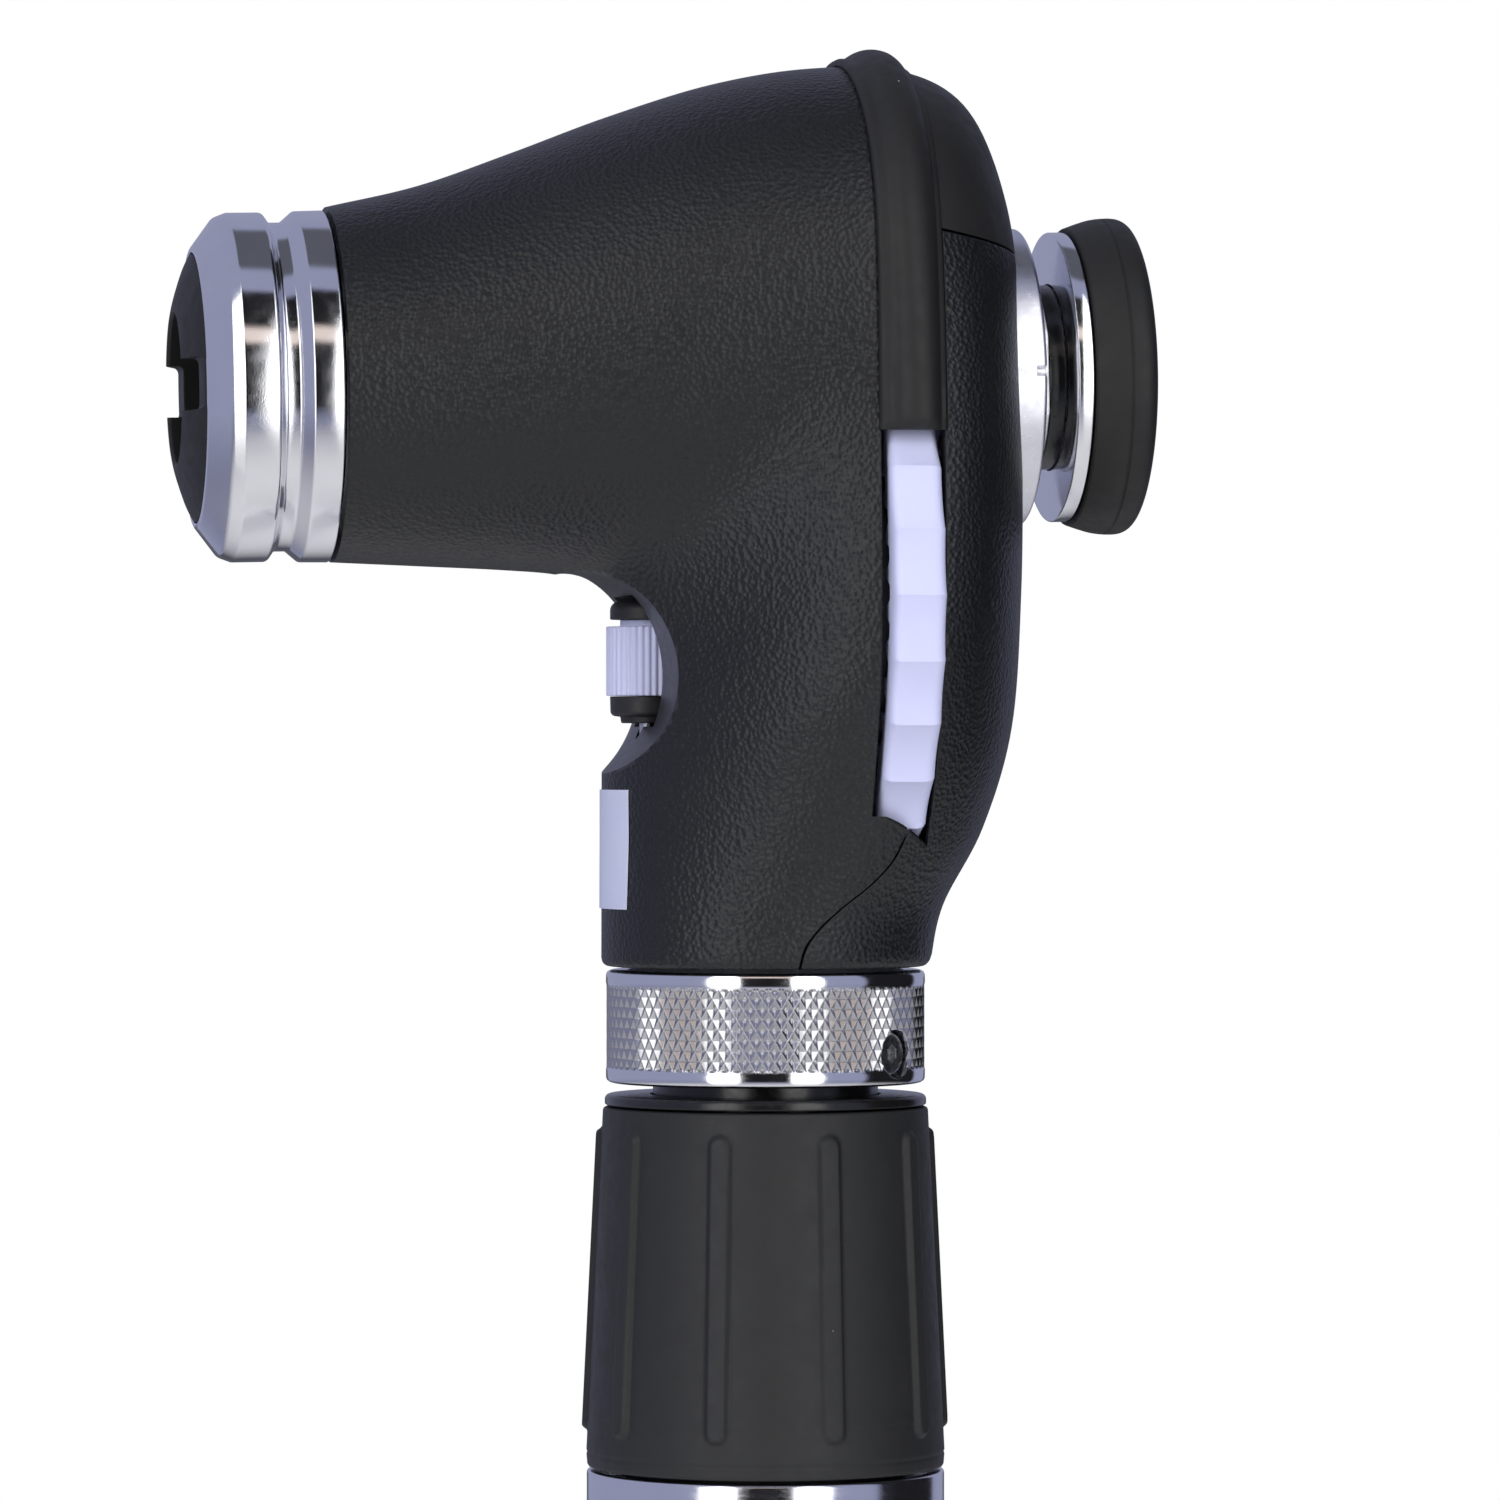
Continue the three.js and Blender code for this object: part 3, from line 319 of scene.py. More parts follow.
def prism(name, outline, low, high, place=in_place):
    """An outline of (x, z) carried along Y from low to high."""
    count = len(outline)
    points = [place(x, y, z) for y in (low, high) for x, z in outline]
    faces = [tuple(range(count)), tuple(range(2 * count - 1, count - 1, -1))]
    for i in range(count):
        after = (i + 1) % count
        faces.append((i, after, after + count, i + count))
    return mesh_object(name, points, faces)


def lofted(name, rings):
    """A piece through rings of points, with a flat face at each end."""
    width = len(rings[0])
    points = [point for ring in rings for point in ring]
    faces = []
    for low in range(0, len(points) - width, width):
        high = low + width
        for j in range(width):
            after = (j + 1) % width
            faces.append((low + j, low + after, high + after, high + j))
    faces.append(tuple(range(width)))
    faces.append(tuple(range(len(points) - 1, len(points) - width - 1, -1)))
    return mesh_object(name, points, faces)


def radial_rod(name, radius, inner, outer, angle, z):
    """A rod that lies along a radius of the handle."""
    return turned(name, rod(radius, inner, outer), about_radius(angle, z), 48)


def combine(piece, *cutters, operation="DIFFERENCE"):
    """Cuts or joins with each cutter in turn, and deletes the cutters."""
    for cutter in cutters:
        modifier = piece.modifiers.new("cut", "BOOLEAN")
        modifier.operation = operation
        modifier.solver = "MANIFOLD"
        modifier.object = cutter
        graph = bpy.context.evaluated_depsgraph_get()
        made = bpy.data.meshes.new_from_object(piece.evaluated_get(graph), depsgraph=graph)
        piece.modifiers.clear()
        old = piece.data
        piece.data = made
        bpy.data.meshes.remove(old)
        bpy.data.objects.remove(cutter)
    return piece


def copy_of(piece, name):
    twin = bpy.data.objects.new(name, piece.data.copy())
    bpy.context.scene.collection.objects.link(twin)
    return twin


def keep_largest_body(piece):
    """Drops the crumbs that a cut leaves loose."""
    shape = bmesh.new()
    shape.from_mesh(piece.data)
    unseen = set(shape.verts)
    bodies = []
    while unseen:
        seed = unseen.pop()
        body = {seed}
        edge = [seed]
        while edge:
            vertex = edge.pop()
            for link in vertex.link_edges:
                other = link.other_vert(vertex)
                if other in unseen:
                    unseen.remove(other)
                    body.add(other)
                    edge.append(other)
        bodies.append(body)
    bodies.sort(key=len)
    loose = [vertex for body in bodies[:-1] for vertex in body]
    bmesh.ops.delete(shape, geom=loose, context="VERTS")
    bmesh.ops.dissolve_degenerate(shape, dist=1e-6, edges=shape.edges)
    shape.to_mesh(piece.data)
    shape.free()


def finish_piece(piece, body, slot, material, *nodes, sharp=32.0):
    """Gives a piece its shading, finish, body and the CAD nodes that it stands for."""
    piece.data.shade_smooth()
    piece.data.set_sharp_from_angle(angle=math.radians(sharp))
    piece.data.materials.clear()
    piece.data.materials.append(material)
    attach(piece, body)
    if nodes:
        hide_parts(*nodes)
    return piece


# ==== materials
def new_node(tree, kind, sockets=None, **settings):
    """A node with these settings, and with these values on its sockets."""
    made = tree.nodes.new(kind)
    for key, value in settings.items():
        setattr(made, key, value)
    for socket, value in (sockets or {}).items():
        made.inputs[socket].default_value = value
    return made


def ranges(low, high, to_low, to_high):
    return {"From Min": low, "From Max": high, "To Min": to_low, "To Max": to_high}


class Look:
    """A Principled material, with helpers that build its detail from node textures in object space."""

    def __init__(self, name, color, roughness, metallic=0.0, **settings):
        self.material = bpy.data.materials.new(name)
        self.material.use_nodes = True
        self.tree = self.material.node_tree
        self.shader = self.tree.nodes["Principled BSDF"]
        self.set("Base Color", (*color, 1.0))
        self.set("Roughness", roughness)
        self.set("Metallic", metallic)
        for key, value in settings.items():
            self.set(key.replace("_", " "), value)
        self.place = self.node("ShaderNodeTexCoord").outputs["Object"]
        self.normal = None

    def set(self, socket, value):
        self.shader.inputs[socket].default_value = value

    def node(self, kind, sockets=None, **settings):
        return new_node(self.tree, kind, sockets, **settings)

    def link(self, output, target):
        self.tree.links.new(output, target)

    def noise(self, size, detail=3.0, roughness=0.55, stretch=(1, 1, 1)):
        """Noise with features of about this size in millimetres, 0 to 1."""
        mapping = self.node("ShaderNodeMapping", {"Scale": stretch})
        self.link(self.place, mapping.inputs["Vector"])
        sockets = {"Scale": 1.0 / (size * MM), "Detail": detail, "Roughness": roughness}
        made = self.node("ShaderNodeTexNoise", sockets)
        self.link(mapping.outputs["Vector"], made.inputs["Vector"])
        return made.outputs["Fac"]

    def cells(self, size, smoothness=0.35):
        """Distance from the middles of cells of about this size in millimetres."""
        sockets = {"Scale": 1.0 / (size * MM), "Smoothness": smoothness}
        made = self.node("ShaderNodeTexVoronoi", sockets, feature="SMOOTH_F1")
        self.link(self.place, made.inputs["Vector"])
        return made.outputs["Distance"]

    def specks(self, spacing, radius):
        """1 inside small dots scattered about this far apart in millimetres, of this radius at most."""
        made = self.node("ShaderNodeTexVoronoi", {"Scale": 1.0 / (spacing * MM)}, feature="F1")
        self.link(self.place, made.inputs["Vector"])
        split = self.node("ShaderNodeSeparateColor")
        self.link(made.outputs["Color"], split.inputs["Color"])
        rare = self.remap(split.outputs["Red"], 0.55, 1.0, 0.0, radius / spacing)
        inside = self.node("ShaderNodeMath", operation="LESS_THAN")
        self.link(made.outputs["Distance"], inside.inputs[0])
        self.link(rare, inside.inputs[1])
        return inside.outputs[0]

    def remap(self, value, low, high, to_low, to_high):
        made = self.node("ShaderNodeMapRange", ranges(low, high, to_low, to_high))
        self.link(value, made.inputs["Value"])
        return made.outputs["Result"]

    def tint(self, factor, color_a, color_b):
        mix = self.node("ShaderNodeMix", {6: (*color_a, 1.0), 7: (*color_b, 1.0)}, data_type="RGBA")
        self.link(factor, mix.inputs["Factor"])
        self.link(mix.outputs[2], self.shader.inputs["Base Color"])
        return mix

    def fleck(self, mix, factor, color):
        """Lays another colour over a tint."""
        top = self.node("ShaderNodeMix", {7: (*color, 1.0)}, data_type="RGBA")
        self.link(factor, top.inputs["Factor"])
        self.link(mix.outputs[2], top.inputs[6])
        self.link(top.outputs[2], self.shader.inputs["Base Color"])
        return top

    def rough(self, factor, low, high):
        self.link(self.remap(factor, 0.25, 0.75, low, high), self.shader.inputs["Roughness"])

    def round_edges(self, radius):
        """Softens the look of cut edges."""
        made = self.node("ShaderNodeBevel", {"Radius": radius * MM}, samples=4)
        self.normal = made.outputs["Normal"]
        self.link(self.normal, self.shader.inputs["Normal"])

    def bump(self, height, strength, distance):
        """Raises the surface by up to this distance in millimetres."""
        made = self.node("ShaderNodeBump", {"Strength": strength, "Distance": distance * MM})
        self.link(height, made.inputs["Height"])
        if self.normal is not None:
            self.link(self.normal, made.inputs["Normal"])
        self.normal = made.outputs["Normal"]
        self.link(self.normal, self.shader.inputs["Normal"])


def grained_plastic():
    look = Look("grained_black_plastic", (0.016, 0.017, 0.019), 0.42, Specular_IOR_Level=0.5)
    look.round_edges(0.22)
    grain = look.cells(0.42)
    fine = look.noise(0.22, 4.0)
    look.tint(look.noise(6.0), (0.0055, 0.0062, 0.007), (0.008, 0.0087, 0.0095))
    look.rough(fine, 0.34, 0.46)
    look.bump(grain, 1.0, 0.1)
    look.bump(fine, 0.5, 0.03)
    return look.material


def satin_scoop():
    look = Look("smooth_black_plastic", (0.02, 0.021, 0.025), 0.36, Specular_IOR_Level=0.6)
    look.round_edges(0.2)
    look.tint(look.noise(4.0), (0.018, 0.019, 0.023), (0.024, 0.025, 0.03))
    look.rough(look.noise(0.8), 0.32, 0.42)
    look.bump(look.noise(0.2, 4.0), 0.3, 0.008)
    return look.material


def soft_rubber(name="soft_black_rubber", dust=3.2, color=(0.0105, 0.0105, 0.0105)):
    look = Look(name, color, 0.55, Specular_IOR_Level=0.45)
    look.round_edges(0.2)
    lighter = tuple(channel * 1.35 for channel in color)
    mix = look.tint(look.noise(5.0), color, lighter)
    mix = look.fleck(mix, look.specks(dust, 0.13), (0.3, 0.29, 0.28))
    look.fleck(mix, look.specks(dust * 0.55, 0.035), (0.2, 0.2, 0.2))
    look.rough(look.noise(1.5), 0.48, 0.64)
    look.bump(look.noise(0.35, 4.0), 0.35, 0.015)
    return look.material


def polished_chrome(name="polished_chrome", roughness=0.09, grain=0.5, painted_shade_scale=1.0):
    # painted_shade_scale scales the base colours; below 1 it is painted shade.
    look = Look(name, (0.86 * painted_shade_scale, 0.865 * painted_shade_scale, 0.9 * painted_shade_scale), roughness, 1.0)
    look.round_edges(0.12)
    duller = (0.82 * painted_shade_scale, 0.825 * painted_shade_scale, 0.87 * painted_shade_scale)
    brighter = (0.9 * painted_shade_scale, 0.9 * painted_shade_scale, 0.92 * painted_shade_scale)
    look.tint(look.noise(3.0), duller, brighter)
    look.rough(look.noise(1.2, 4.0), roughness * 0.6, roughness * 1.5)
    look.bump(look.noise(0.13, 2.0), grain, 0.004)
    look.bump(look.specks(0.9, 0.07), 0.25, 0.02)
    return look.material


def satin_metal():
    look = Look("satin_aluminium", (0.8, 0.8, 0.86), 0.3, 1.0)
    look.round_edges(0.12)
    look.tint(look.noise(2.5), (0.76, 0.765, 0.83), (0.86, 0.86, 0.9))
    look.rough(look.noise(0.8), 0.24, 0.38)
    look.bump(look.noise(0.12, 3.0, stretch=(8, 1, 1)), 0.3, 0.004)
    return look.material


def brushed_chrome():
    look = Look("brushed_barrel", (0.84, 0.845, 0.9), 0.14, 1.0)
    look.round_edges(0.12)
    look.tint(look.noise(4.0), (0.8, 0.805, 0.87), (0.88, 0.88, 0.92))
    look.rough(look.noise(0.9, stretch=(1, 1, 4)), 0.08, 0.2)
    look.bump(look.noise(0.25, 3.0, stretch=(1, 1, 9)), 0.3, 0.004)
    look.bump(look.noise(0.12, 2.0), 0.4, 0.003)
    return look.material


def lavender():
    look = Look("lavender_plastic", (0.62, 0.64, 0.9), 0.42, Specular_IOR_Level=0.45)
    look.set("Subsurface Weight", 0.08)
    look.set("Subsurface Radius", (0.0012, 0.001, 0.0012))
    look.round_edges(0.18)
    look.tint(look.noise(5.0), (0.61, 0.63, 0.89), (0.66, 0.68, 0.92))
    look.rough(look.noise(0.9), 0.36, 0.5)
    look.bump(look.noise(0.35), 0.2, 0.006)
    return look.material


def gloss_black():
    look = Look("gloss_black", (0.008, 0.008, 0.009), 0.2, Specular_IOR_Level=0.55)
    look.round_edges(0.2)
    look.tint(look.noise(2.0), (0.006, 0.006, 0.007), (0.012, 0.012, 0.013))
    look.rough(look.noise(0.5), 0.14, 0.3)
    look.bump(look.noise(0.3, 4.0), 0.3, 0.006)
    return look.material


def printed_label():
    look = Look("label_film", (0.62, 0.65, 0.85), 0.38, Specular_IOR_Level=0.5)
    look.tint(look.noise(3.0), (0.6, 0.63, 0.84), (0.66, 0.69, 0.88))
    look.rough(look.noise(0.8), 0.32, 0.45)
    look.bump(look.noise(0.4), 0.15, 0.004)
    return look.material


def plain_metal(name, color_a, color_b, roughness):
    look = Look(name, color_a, roughness, 1.0)
    look.round_edges(0.08)
    look.tint(look.noise(1.5), color_a, color_b)
    look.rough(look.noise(0.6), roughness * 0.7, roughness * 1.3)
    look.bump(look.noise(0.15, 3.0), 0.25, 0.004)
    return look.material


def plain_plastic(name, color_a, color_b, roughness):
    look = Look(name, color_a, roughness)
    look.round_edges(0.1)
    look.tint(look.noise(2.5), color_a, color_b)
    look.rough(look.noise(0.7), roughness * 0.8, roughness * 1.2)
    look.bump(look.noise(0.3, 3.0), 0.25, 0.006)
    return look.material


def coated_glass():
    look = Look("coated_glass", (0.93, 0.95, 0.97), 0.02)
    look.set("Transmission Weight", 1.0)
    look.set("IOR", 1.5)
    look.set("Coat Weight", 0.3)
    look.set("Coat Tint", (0.75, 0.6, 1.0, 1.0))
    look.rough(look.noise(1.5), 0.01, 0.05)
    return look.material


def silvered_mirror():
    look = Look("silvered_mirror", (0.94, 0.95, 0.96), 0.03, 1.0)
    look.rough(look.noise(2.0), 0.01, 0.05)
    return look.material


grain_black = grained_plastic()
scoop_black = satin_scoop()
rubber = soft_rubber()
grip_rubber = soft_rubber("grip_rubber", 4.0, (0.0145, 0.0148, 0.015))
chrome = polished_chrome()
# The knurled chrome is rougher, which is real, and its base colour is scaled to 0.62, which is painted shade in
# the knurl pits.
knurl_pit_shade_chrome = polished_chrome("knurled_chrome_painted_shade", 0.14, 0.3, 0.62)
barrel_chrome = brushed_chrome()
aluminium = satin_metal()
lavender_plastic = lavender()
black_gloss = gloss_black()
label_film = printed_label()
steel = plain_metal("spring_steel", (0.5, 0.51, 0.54), (0.6, 0.61, 0.64), 0.28)
brass = plain_metal("brass", (0.62, 0.42, 0.14), (0.75, 0.55, 0.22), 0.25)
inner_black = plain_plastic("inner_black", (0.012, 0.012, 0.013), (0.02, 0.02, 0.021), 0.5)
inner_grey = plain_plastic("inner_grey", (0.11, 0.12, 0.14), (0.15, 0.155, 0.17), 0.5)
battery_wrap = plain_plastic("battery_wrap", (0.02, 0.07, 0.04), (0.03, 0.09, 0.06), 0.35)
glass = coated_glass()
mirror_silver = silvered_mirror()


# ==== housing
def section_at(position):
    """The housing's section at a place along the list, between sections too."""
    last = len(SECTIONS) - 1
    i = min(int(position), last - 1)
    here, after = SECTIONS[i], SECTIONS[i + 1]
    before = SECTIONS[i - 1] if i > 0 else tuple(2 * a - b for a, b in zip(here, after))
    beyond = SECTIONS[i + 2] if i + 2 <= last else tuple(2 * b - a for a, b in zip(here, after))
    return [catmull_rom(*values, position - i) for values in zip(before, here, after, beyond)]


def housing_solid(name, inset, per_section, around, stretch=0.0):
    """What is inside the housing's outer surface moved inwards by inset. stretch lengthens its open ends."""
    last = len(SECTIONS) - 1
    positions = [i / per_section for i in range(last * per_section)]
    positions += [last - share for share in (0.07, 0.045, 0.025, 0.01, 0.0)]
    count = len(positions)
    rings = []
    for i, position in enumerate(positions):
        near_x, near_z, far_x, far_z, half_width, lean = section_at(position)
        above_foot = max(0.0, NECK_FOOT_ROUNDING - (near_z - SECTIONS[-1][1]))
        rounding = 0.0
        if position > last - 0.5 and inset == 0:
            rounding = NECK_FOOT_ROUNDING - math.sqrt(NECK_FOOT_ROUNDING ** 2 - above_foot ** 2)
        half = Vector((far_x - near_x, far_z - near_z)) / 2
        middle = Vector((near_x, near_z)) + half
        half = half.normalized() * (half.length - inset - rounding)
        half_width -= rounding
        if i == 0:
            middle.x -= stretch
        if i == count - 1:
            middle.y -= stretch
        widest = 0.0
        if lean > 1e-6:
            widest = (math.sqrt(1 + 8 * lean * lean) - 1) / (4 * lean)
        peak = math.sqrt(1 - widest * widest) * (1 + lean * widest)
        ring = []
        for j in range(around):
            angle = j * 2 * math.pi / around
            egg = math.sin(angle) * (1 + lean * math.cos(angle)) / peak
            along = half * math.cos(angle)
            ring.append((middle.x + along.x, egg * (half_width - inset), middle.y + along.y))
        rings.append(ring)
    return lofted(name, rings)


def scoop_solid(name, grow, around, across):
    """The ring of elliptical section that scoops the neck out for the thumb."""
    outline = []
    for i in range(across):
        angle = i * 2 * math.pi / across
        outline.append((SCOOP_RADIUS + (SCOOP_DEPTH + grow) * math.cos(angle),
                        SCOOP_Z + (SCOOP_HALF_HEIGHT + grow) * math.sin(angle)))

    def place(radius, height, angle):
        return about_z(radius, height, angle) + Vector((SCOOP_AXIS_X, 0, 0))

    return turned(name, outline, place, around)


def rear_region(shift):
    """The region behind the joint between front housing and rear cover."""
    joint = spline(NECK_JOINT, 6)
    foot = COLLAR_TOP - 1.7
    outline = [(SPLIT_X + shift, CLEAR_TOP), (SPLIT_X + shift, SLOT_FOOT)]
    outline += [(x + shift, z) for x, z in joint]
    outline += [(NECK_JOINT[-1][0] + shift, foot), (CLEAR, foot), (CLEAR, CLEAR_TOP)]
    return prism("rear_region", outline, -CLEAR, CLEAR)


def wheel_room():
    return turned("wheel_room", rod(WHEEL_RADIUS + 0.4, WHEEL_LEFT - 0.3, WHEEL_RIGHT + 0.35), about_wheel, 180)


def slot_room():
    return box_piece("slot_room", (SPLIT_X, -40, SLOT_FOOT), (SLOT_REAR_X, 40, SLOT_HEAD))


def flange_room():
    return turned("flange_room", rod(FLANGE_HOLE_RADIUS, 14, 30), about_sight, 128)


def brow_region(start, left, lift):
    """An outline round the brow cap, from these points at its left. Its foot slopes down to the right."""
    foot_left, foot_right = BROW_FOOT_LEFT + lift, BROW_FOOT_RIGHT + lift
    return start + [(left, foot_left), (BROW_SLOPE_END, foot_right), (CLEAR, foot_right), (CLEAR, CLEAR_TOP)]


def paint_scoop(piece, material):
    """Gives the faces that the scoop cut their own smooth finish."""
    piece.data.materials.append(material)
    for face in piece.data.polygons:
        place = face.center / MM
        across = math.hypot(place.x - SCOOP_AXIS_X, place.y) - SCOOP_RADIUS
        ellipse = (across / SCOOP_DEPTH) ** 2 + ((place.z - SCOOP_Z) / SCOOP_HALF_HEIGHT) ** 2
        if ellipse < 1.02 and place.x < 0:
            face.material_index = 1


def make_housing():
    per_section, around = ((10, 168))
    outer = housing_solid("outer", 0, per_section, around)
    surface = BVHTree.FromObject(outer, bpy.context.evaluated_depsgraph_get())
    hollow = combine(housing_solid("hollow", WALL, 3, 64, 3.0), scoop_solid("scoop_wall", SCOOP_WALL, 180, 32))
    shell = combine(outer, scoop_solid("scoop", 0, 720, 96), hollow)

    front = copy_of(shell, "front_housing_shell")
    half, foot, head, back = DIAL_WINDOW
    dial_window = box_piece("dial_window", (DIAL_WINDOW_FRONT, -half, foot), (back, half, head))
    axle_hole = turned("axle_hole", rod(AXLE_HOLE_RADIUS, foot - 3, head + 7.2), about_dial, 32)
    combine(front, rear_region(-SEAM / 2), dial_window, axle_hole, wheel_room(), slot_room())
    keep_largest_body(front)
    finish_piece(front, "head", "black_plastic", grain_black, "front_housing")
    paint_scoop(front, scoop_black)

    rear = combine(copy_of(shell, "rear_cover_shell"), rear_region(SEAM / 2), operation="INTERSECT")
    cap = copy_of(rear, "brow_cap")
    under_band = [(0, CLEAR_TOP), (0, SLOT_HEAD), (SLOT_REAR_X + 0.18, SLOT_HEAD)]
    above = prism("above", brow_region(under_band, SLOT_REAR_X + 0.18, 0.0), -CLEAR, CLEAR)
    combine(rear, above, slot_room(), wheel_room(), flange_room())
    keep_largest_body(rear)
    finish_piece(rear, "head", "black_plastic", grain_black, "rear_cover")

    beside_band = [(SLOT_REAR_X + 0.15, CLEAR_TOP)]
    cap_region = prism("cap_region", brow_region(beside_band, SLOT_REAR_X + 0.15, SEAM), -CLEAR, CLEAR)
    combine(cap, cap_region, operation="INTERSECT")
    combine(cap, flange_room(), wheel_room())
    keep_largest_body(cap)
    finish_piece(cap, "head", "black_rubber", rubber, "brow_rest")
    bpy.data.objects.remove(shell)
    return surface


def make_brow_band(surface):
    """The raised rubber band over the head: a rounded bead between two thin lips, swept round the housing."""
    left, right = SPLIT_X + 0.1, SLOT_REAR_X + 0.1
    bead = spline([(left + 0.6, 0.72), (left + 0.95, 0.9), (left + 1.45, 1.2), (left + 2.1, 1.43),
                   (left + 2.9, 1.5), (left + 3.7, 1.36), (left + 4.3, 1.0), (left + 4.7, 0.5)], 4)
    profile = [(left, -WALL), (left, 0.04), (left - 0.4, 0.04), (left - 0.44, 0.3), (left - 0.3, 0.56),
               (left, 0.7), (left + 0.35, 0.68)]
    profile += bead
    profile += [(left + 4.82, 0.3), (right - 0.1, 0.3), (right, 0.2), (right, -WALL)]
    centre_z = SLOT_HEAD - 0.05
    steps = 160
    rings = []
    for i in range(steps + 1):
        angle = math.pi * (i / steps - 0.5)
        from_end = (math.pi / 2 - abs(angle)) * BAND_REACH
        lower = min(1.0, from_end / BAND_END)
        ray = Vector((0, math.sin(angle), math.cos(angle)))
        ring = []
        for x, proud in profile:
            hit, normal, _, _ = surface.ray_cast(Vector((x, 0, centre_z)) * MM, ray)
            height = proud if proud < 0 else proud * math.sqrt(max(0.0, 1 - (1 - lower) ** 2) * 0.75 + 0.25)
            flat = Vector((0, normal.y, normal.z)).normalized()
            place = hit / MM + flat * height
            ring.append((place.x, place.y, max(place.z, centre_z) if i in (0, steps) else place.z))
        rings.append(ring)
    band = lofted("brow_band", rings)
    combine(band, wheel_room())
    keep_largest_body(band)
    finish_piece(band, "head", "black_rubber", rubber, sharp=40.0)


def make_label(surface):
    """A plain film label on the front of the neck."""
    half_angle = math.radians(LABEL_HALF_ANGLE)
    across, up = 48, 12
    points, faces = [], []
    for layer in (LABEL_LIFT, LABEL_LIFT + LABEL_THICKNESS):
        for i in range(up + 1):
            for j in range(across + 1):
                angle = half_angle * (2 * j / across - 1)
                height = LABEL_BOTTOM + (LABEL_TOP - LABEL_BOTTOM) * i / up
                ray = Vector((-math.cos(angle), -math.sin(angle), 0))
                hit, _, _, _ = surface.ray_cast(Vector((0, 0, height)) * MM, ray)
                points.append(hit / MM + ray * layer)
    row = across + 1
    layer_size = row * (up + 1)
    for layer in (0, layer_size):
        for i in range(up):
            for j in range(across):
                a = layer + i * row + j
                faces.append((a, a + 1, a + row + 1, a + row))
    rim = [j for j in range(row)] + [i * row + across for i in range(1, up + 1)]
    rim += [up * row + j for j in range(across - 1, -1, -1)] + [i * row for i in range(up - 1, 0, -1)]
    for a, b in zip(rim, rim[1:] + rim[:1]):
        faces.append((a, b, b + layer_size, a + layer_size))
    finish_piece(mesh_object("neck_label", points, faces), "head", "label", label_film, "label_plate")


# ==== handle
def make_end_cap():
    outline = rounded([(3.6, 0, 0.2), (BARREL_RADIUS, 0, 1.3), (BARREL_RADIUS, CAP_HEIGHT, 0.25),
                       (13.3, CAP_HEIGHT, 0), (13.3, 15, 0.2), (11.8, 15, 0.2), (11.8, 4, 0.3),
                       (3.6, 4, 0.1)], 8)
    dense = [outline[0]]
    for (r0, z0), (r1, z1) in zip(outline, outline[1:]):
        steps = max(1, int(math.hypot(r1 - r0, z1 - z0) / 0.35))
        dense += [(r0 + (r1 - r0) * k / steps, z0 + (z1 - z0) * k / steps) for k in range(1, steps + 1)]

    def fluted(radius, height, angle):
        if radius < 14.0 or not FLUTE_LOW < height < FLUTE_HIGH:
            return radius
        wave = 0.5 + 0.5 * math.cos(CAP_FLUTES * angle)
        fade = min(1.0, (height - FLUTE_LOW) / FLUTE_END, (FLUTE_HIGH - height) / FLUTE_END)
        return radius - 0.5 * wave ** 6 * math.sin(fade * math.pi / 2)

    cap = turned("end_cap_body", dense, about_z, 288, fluted)
    finish_piece(cap, "end_cap", "chrome", barrel_chrome, "end_cap")
    bushing = rounded([(1.8, 0.8, 0.1), (3.3, 0.8, 0.2), (3.3, 4.3, 0), (8.0, 4.3, 0.1), (8.0, 5.3, 0.1),
                       (1.8, 5.3, 0.1)])
    finish_piece(turned("charging_insulator", bushing, about_z, 96), "end_cap", "black_plastic", inner_black,
                 "charging_bushing")
    contact = [(0, 0), (1.3, 0), (1.5, 0.2), (1.5, 5.6), (7.1, 5.6), (7.2, 5.7), (7.2, 6.4), (0, 6.4)]
    finish_piece(turned("charging_pin", contact, about_z, 96), "end_cap", "brass", brass, "charging_contact")


def make_barrel():
    foot = CAP_HEIGHT + 0.3
    outline = rounded([(BARREL_BORE, foot, 0.1), (BARREL_RADIUS, foot, 0.25), (BARREL_RADIUS, BARREL_TOP, 0.3),
                       (BARREL_BORE, BARREL_TOP, 0.1)])
    tube = turned("barrel_tube", outline, about_z, 192)
    finish_piece(tube, "handle", "chrome", barrel_chrome, "handle_barrel")


def sleeve_radius(height):
    share = (height - SLEEVE_BOTTOM) / (SLEEVE_TOP - SLEEVE_BOTTOM)
    return SLEEVE_BOTTOM_RADIUS + share * (SLEEVE_TOP_RADIUS - SLEEVE_BOTTOM_RADIUS)


def rib_height(height, angle):
    """How far a long rounded rib stands out of the sleeve at this place."""
    best = 0.0
    for i in range(RIB_COUNT):
        middle = math.radians(RIB_FIRST + i * RIB_PITCH)
        off = (angle - middle + math.pi) % (2 * math.pi) - math.pi
        across = off * sleeve_radius(height)
        past = max(0.0, RIB_FOOT + RIB_HALF_WIDTH - height, height - (RIB_HEAD - RIB_HALF_WIDTH))
        reach = RIB_HALF_WIDTH - math.hypot(across, past)
        edge = min(1.0, max(0.0, reach / 0.5))
        best = max(best, RIB_PROUD * edge * edge * (3 - 2 * edge))
    return best


